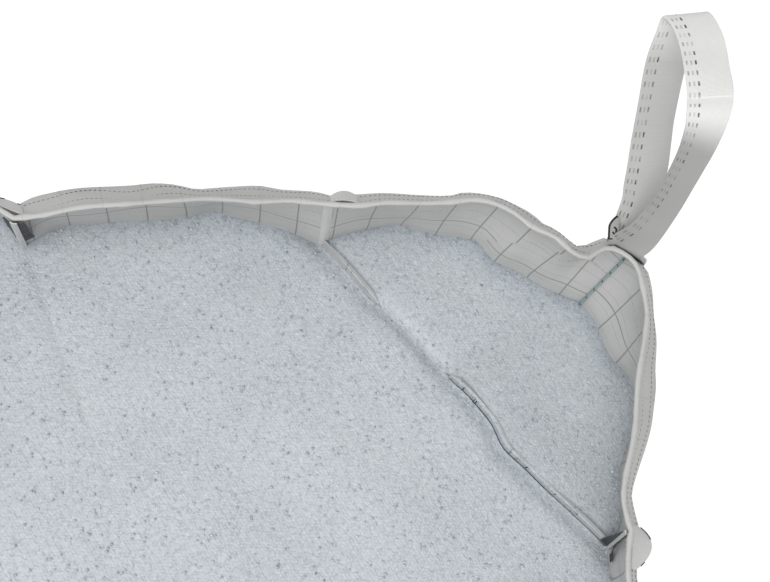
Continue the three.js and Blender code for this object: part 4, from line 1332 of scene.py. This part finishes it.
def make_patch(wall):
    sides = np.array(RIGHT_PATCH_SIDES if WALLS[wall] == "right" else PATCH_SIDES)
    z = np.linspace(sides[0, 0], sides[-1, 0], PATCH_GRID[0])[:, None]
    left, right = (MM * np.interp(z, sides[:, 0], sides[:, k]) for k in (1, 2))
    steps = left + (right - left) * np.linspace(0, 1, PATCH_GRID[1])[None, :]
    lift = PATCH_LIFT * (1 + np.clip(waves(steps, z, 90 + wall, 0.05, 0.04), 0, 1))
    places = tie_points(FIRST_LINE_AT[wall], steps, z, lift)
    piece = grid_piece(f"black_patch_{WALLS[wall]}", places, flat_metres(steps, z))
    thicken(piece, THIN_CLOTH)
    return dress(piece, BLACK_CLOTH, "black_cloth", f"bonding_patch_{WALLS[wall]}")


rim_tapes, tape_edges = [], []
for wall in range(4):
    first_shape = REAR_FIRST_BULGE if wall == 0 else FIRST_BULGE
    for order, line, shape in (("first", FIRST_LINE_AT[wall], first_shape),
                               ("second", SECOND_LINE_AT[wall], SECOND_BULGE)):
        tape, places = make_rim_tape(f"rim_tape_{WALLS[wall]}_{order}", line, **shape)
        if order == "first":
            tape_edges.append(places[0])
        rim_tapes.append(dress(tape, TAPE, "webbing", f"rim_tab_{WALLS[wall]}_{order}"))
patches = [make_patch(wall) for wall in range(4)]
print("rim tapes", len(rim_tapes), "patches", len(patches))

# %% [markdown]
# The filler cord in each corner seam is twisted from three yarns. A tube whose radius swells three
# times round, and whose pattern turns as it climbs, reads as a twist without three real strands.
# The ground tab is a short tape with black conductive yarn round its edge and in a knot on it, and
# the same yarn runs on the lower edge of each wall's first rim tape. Yarn is a thin plain tube.

# %% Seam cords and ground tab
CORD_RADIUS = 0.0016
CORD_TWIST = 0.017
CORD_OFF_CORNER = 0.0066
CORD_TOP = RIM_HEIGHT - 0.040
CORD_STEPS = 360
GROUND_TAB_PATH = [(506, 465, 8), (504.5, 472, 17), (504, 479, 24), (506, 485, 30)]
GROUND_TAB_FROM_CORNER = 0.014
GROUND_TAB_HALF = 0.0056
GROUND_TAB_THICKNESS = 0.0013
EDGE_YARN_RADIUS = 0.0013
KNOT_RADIUS = 0.0014
EDGE_YARN_PARTS = ((1, 9), (20, 23))


def tube(name, centres, radius_at, sides):
    """A tube along centre points. radius_at(angle, run) gives its section."""
    tangents = unit(np.gradient(centres, axis=0))
    side = unit(np.cross(tangents, [0.37, 0.92, 0.11]))
    up = np.cross(tangents, side)
    run = run_along(centres)
    angle = np.linspace(0, 2 * math.pi, sides + 1)
    radius = radius_at(angle[None, :], run[:, None])[..., None]
    places = centres[:, None] + radius * (np.cos(angle)[None, :, None] * side[:, None]
                                          + np.sin(angle)[None, :, None] * up[:, None])
    piece = grid_piece(name, places, flat_metres(angle[None, :] * CORD_RADIUS, run[:, None]))
    merge_doubles(piece, FINE_MERGE_REACH, fill_ends=True)
    face_outwards(piece, 60)
    return piece


def black_yarn(name, centres, radius):
    piece = tube(name, centres, lambda angle, run: radius + 0 * (angle + run), 8)
    return dress(piece, BLACK_YARN, "black_cloth")


def make_seam_cord(corner):
    z = np.linspace(CLOTH_BOTTOM + GAP, CORD_TOP, CORD_STEPS)
    corner_line, _ = cloth_points(CORNER_AT[corner], z, 0.0)
    inwards = turn_corner(np.array([-1.0, -1.0, 0.0]) / math.sqrt(2), corner)
    centres = corner_line + inwards * CORD_OFF_CORNER

    def twisted(angle, run):
        turn = angle - 2 * math.pi * run / CORD_TWIST
        return CORD_RADIUS * (0.84 + 0.16 * np.abs(np.cos(1.5 * turn)))

    piece = tube(f"filler_cord_{CORNERS[corner]}", centres, twisted, 12)
    return dress(piece, SEAM_YARN, "seam_cord", f"seam_cord_{CORNERS[corner]}")


def make_ground_tab():
    z = RIM_HEIGHT - np.array([0.034, 0.018, 0.006, 0.001])
    foot = ring_place(CORNER_AT[0], -GROUND_TAB_FROM_CORNER)
    sewn, _ = cloth_points(foot, z, BEAD_PROUD + 0.0012)
    centres = spaced(np.vstack([sewn, over_rim(GROUND_TAB_PATH)]), 24)
    run = np.linspace(1, 0, 25)
    half = GROUND_TAB_HALF * np.sqrt(np.clip(run / 0.16, 0.02, 1))
    across = np.linspace(-1, 1, 9)
    places = centres[:, None, :] + [1, 0, 0] * (half[:, None] * across[None, :])[..., None]
    weave = flat_metres(across[None, :] * GROUND_TAB_HALF, run[:, None] * 0.07)
    piece = grid_piece("ground_tab", places, weave)
    thicken(piece, GROUND_TAB_THICKNESS)
    rim = np.vstack([places[15, 3:0:-1], places[15:, 0], places[-1, 1:-1]])
    knot = spaced([places[18, 3], places[17, 5], places[19, 6], places[20, 4]], 12)
    black_yarn("ground_tab_knot", knot, KNOT_RADIUS)
    black_yarn("ground_tab_edge", rim, EDGE_YARN_RADIUS)
    return dress(piece, SOILED_TAPE, "webbing", "ground_tab_rear_right")


seam_cords = [make_seam_cord(corner) for corner in range(4)]
for wall in range(4):
    for number, (first, last) in enumerate(EDGE_YARN_PARTS):
        line = spaced(tape_edges[wall][first:last], 12)
        black_yarn(f"edge_yarn_{WALLS[wall]}_{number}", line, EDGE_YARN_RADIUS)
ground_tab = make_ground_tab()
print("seam cord vertices", [len(piece.data.vertices) for piece in seam_cords])
print("ground tab vertices", len(ground_tab.data.vertices))

# %% [markdown]
# Stitches are real thread that dips in and out of the cloth, so each one is a small spindle: an
# icosphere pulled long. It is modelled once and copied along a row of places, each copy turned to
# the row's direction. A row of a thousand stitches joins into one mesh for each wall.

# %% Stitches
STITCH = {"length": 0.0038, "width": 0.0012, "height": 0.0008}
HEM_PITCH = 0.0056
SEAM_PITCH = 0.0085
SEWN_ASTRAY = 0.0022
SEWN_OFF_SEAM = 0.004
HEM_ROW_HEIGHTS = (1.0835, 1.0710)
HEM_INNER_ROW = 1.0850
HEM_EDGE_ROW = 1.0080
SEAM_ROW = {"low": 0.125, "high": 1.035, "aside": 0.004}
STRAP_ROWS = (-0.019, -0.007, 0.007, 0.019)

bpy.ops.object.select_all(action="DESELECT")
bpy.ops.mesh.primitive_ico_sphere_add(subdivisions=1, radius=0.5)
spindle = bpy.context.object
SPINDLE_POINTS = np.array([v.co[:] for v in spindle.data.vertices])
SPINDLE_FACES = np.array([p.vertices[:] for p in spindle.data.polygons])
bpy.data.objects.remove(spindle)


def copies(name, places, axes):
    """Copies of the spindle joined in one mesh. axes are its three half-length vectors a place."""
    points = places[:, None, :] + np.einsum("vk,nkc->nvc", SPINDLE_POINTS, axes)
    faces = SPINDLE_FACES[None] + len(SPINDLE_POINTS) * np.arange(len(places))[:, None, None]
    return mesh_piece(name, points.reshape(-1, 3), faces.reshape(-1, 3))


def stitch_axes(directions, normals):
    side = np.cross(normals, directions)
    return np.stack([directions * STITCH["length"], side * STITCH["width"],
                     normals * STITCH["height"]], axis=1)


def row_along(wall, z, offset):
    start, end = RUN[wall * WALL_STEPS], RUN[(wall + 1) * WALL_STEPS]
    run = np.arange(start + SEWN_OFF_SEAM, end - SEWN_OFF_SEAM, HEM_PITCH)
    at = np.interp(run, RUN, np.arange(RING_SIZE + 1))
    wander = SEWN_ASTRAY * waves(run, 0 * run, 120 + wall, 0.11, 1.0)
    places, normals = cloth_points(at, z + wander, offset)
    ahead, _ = cloth_points(at + 0.2, z + wander, offset)
    sign = 1 if offset >= 0 else -1
    return places, unit(ahead - places), normals * sign


def row_up(line, aside):
    z = np.arange(SEAM_ROW["low"], SEAM_ROW["high"], SEAM_PITCH)
    at = float(ring_place(line, aside))
    places, normals = cloth_points(at, z, 0.0)
    ahead, _ = cloth_points(at, z + 0.002, 0.0)
    return places, unit(ahead - places), normals


def sew(name, rows, material, slot):
    places, directions, normals = (np.vstack(parts) for parts in zip(*rows))
    return dress(copies(name, places, stitch_axes(directions, normals)), material, slot)


threads = []
for wall in range(4):
    hem_rows = [row_along(wall, z, 0.0) for z in HEM_ROW_HEIGHTS]
    hem_rows.append(row_along(wall, HEM_INNER_ROW, -HEM_LAYERS))
    edge_rows = [row_along(wall, HEM_EDGE_ROW, -HEM_LAYERS)]
    seam_rows = [row_up(line, aside) for line in (FIRST_LINE_AT[wall], SECOND_LINE_AT[wall])
                 for aside in (-SEAM_ROW["aside"], SEAM_ROW["aside"])]
    for name, rows, thread in (("hem_stitches", hem_rows, HEM_THREAD),
                               ("hem_edge_stitches", edge_rows, PALE_THREAD),
                               ("seam_stitches", seam_rows, PALE_THREAD)):
        threads.append(sew(f"{name}_{WALLS[wall]}", rows, thread, "woven_cloth"))


def leg_rows(corner):
    z = np.arange(RIM_HEIGHT - LEG_LENGTH + 0.008, RIM_HEIGHT - 0.03, HEM_PITCH)
    centre, normals, width = leg_line(z, 2 * STRAP_THICKNESS + GAP)
    upwards = np.broadcast_to([0.0, 0.0, 1.0], centre.shape)
    return [(turn_corner(centre + aside * width, corner), upwards, turn_corner(normals, corner))
            for aside in STRAP_ROWS]


for corner in range(4):
    name = f"strap_stitches_{CORNERS[corner]}"
    threads.append(sew(name, leg_rows(corner), HEM_THREAD, "webbing"))
print("rows of stitches joined in", len(threads), "pieces")

# %% [markdown]
# A few thousand loose granules lie on the heap. Each is the same icosphere, nearly round, at a
# seeded place and turn.

# %% Loose granules
LOOSE_COUNT = 2600
LOOSE_TONE = (0.6, 0.22)
GRANULE_SIZE = 0.0040
KEPT_CLEAR = 0.004


def scatter():
    rng = np.random.default_rng(99)
    spots = rng.uniform(-0.56, 0.56, (LOOSE_COUNT * 2, 2))
    radius = np.hypot(*spots.T)
    near = np.stack([np.abs(past_baffle(corner, *spots.T)[0]) for corner in range(4)]).min(axis=0)
    keep = (radius < edge_radius(*spots.T) - KEPT_CLEAR) & (near > KEPT_CLEAR)
    spots = spots[keep][:LOOSE_COUNT]
    z = heap_height(*spots.T) + DOME_HEIGHT / 2 + 0.0007
    turns = np.linalg.qr(rng.normal(size=(len(spots), 3, 3)))[0]
    sizes = GRANULE_SIZE * rng.uniform([0.85, 0.8, 0.6], [1.1, 1.0, 0.8], (len(spots), 3))
    piece = copies("loose_granules", np.column_stack([spots, z]), turns * sizes[:, :, None])
    shades = np.clip(rng.normal(*LOOSE_TONE, len(spots)), 0, 1)
    store(piece.data, "tone", "FLOAT", "FACE", np.repeat(shades, len(SPINDLE_FACES)))
    return dress(piece, GRANULES, "granules")


loose_granules = scatter()
print("loose granules", len(loose_granules.data.polygons) // len(SPINDLE_FACES))

# %% [markdown]
# Each wall's rim tapes, stitches and black patch are gathered in a list, and the triangles of all
# shown pieces are counted.

for wall, piece in enumerate(walls):
    on_it = [p for p in rim_tapes + threads + [patches[wall]] if f"_{WALLS[wall]}" in p.name]
    on_it = [p for p in on_it if not p.name.startswith("strap")]

triangles = 0
for piece in bpy.data.objects:
    if piece.type == "MESH" and not piece.hide_render:
        piece.data.calc_loop_triangles()
        triangles += len(piece.data.loop_triangles)
print("triangles in all", triangles)
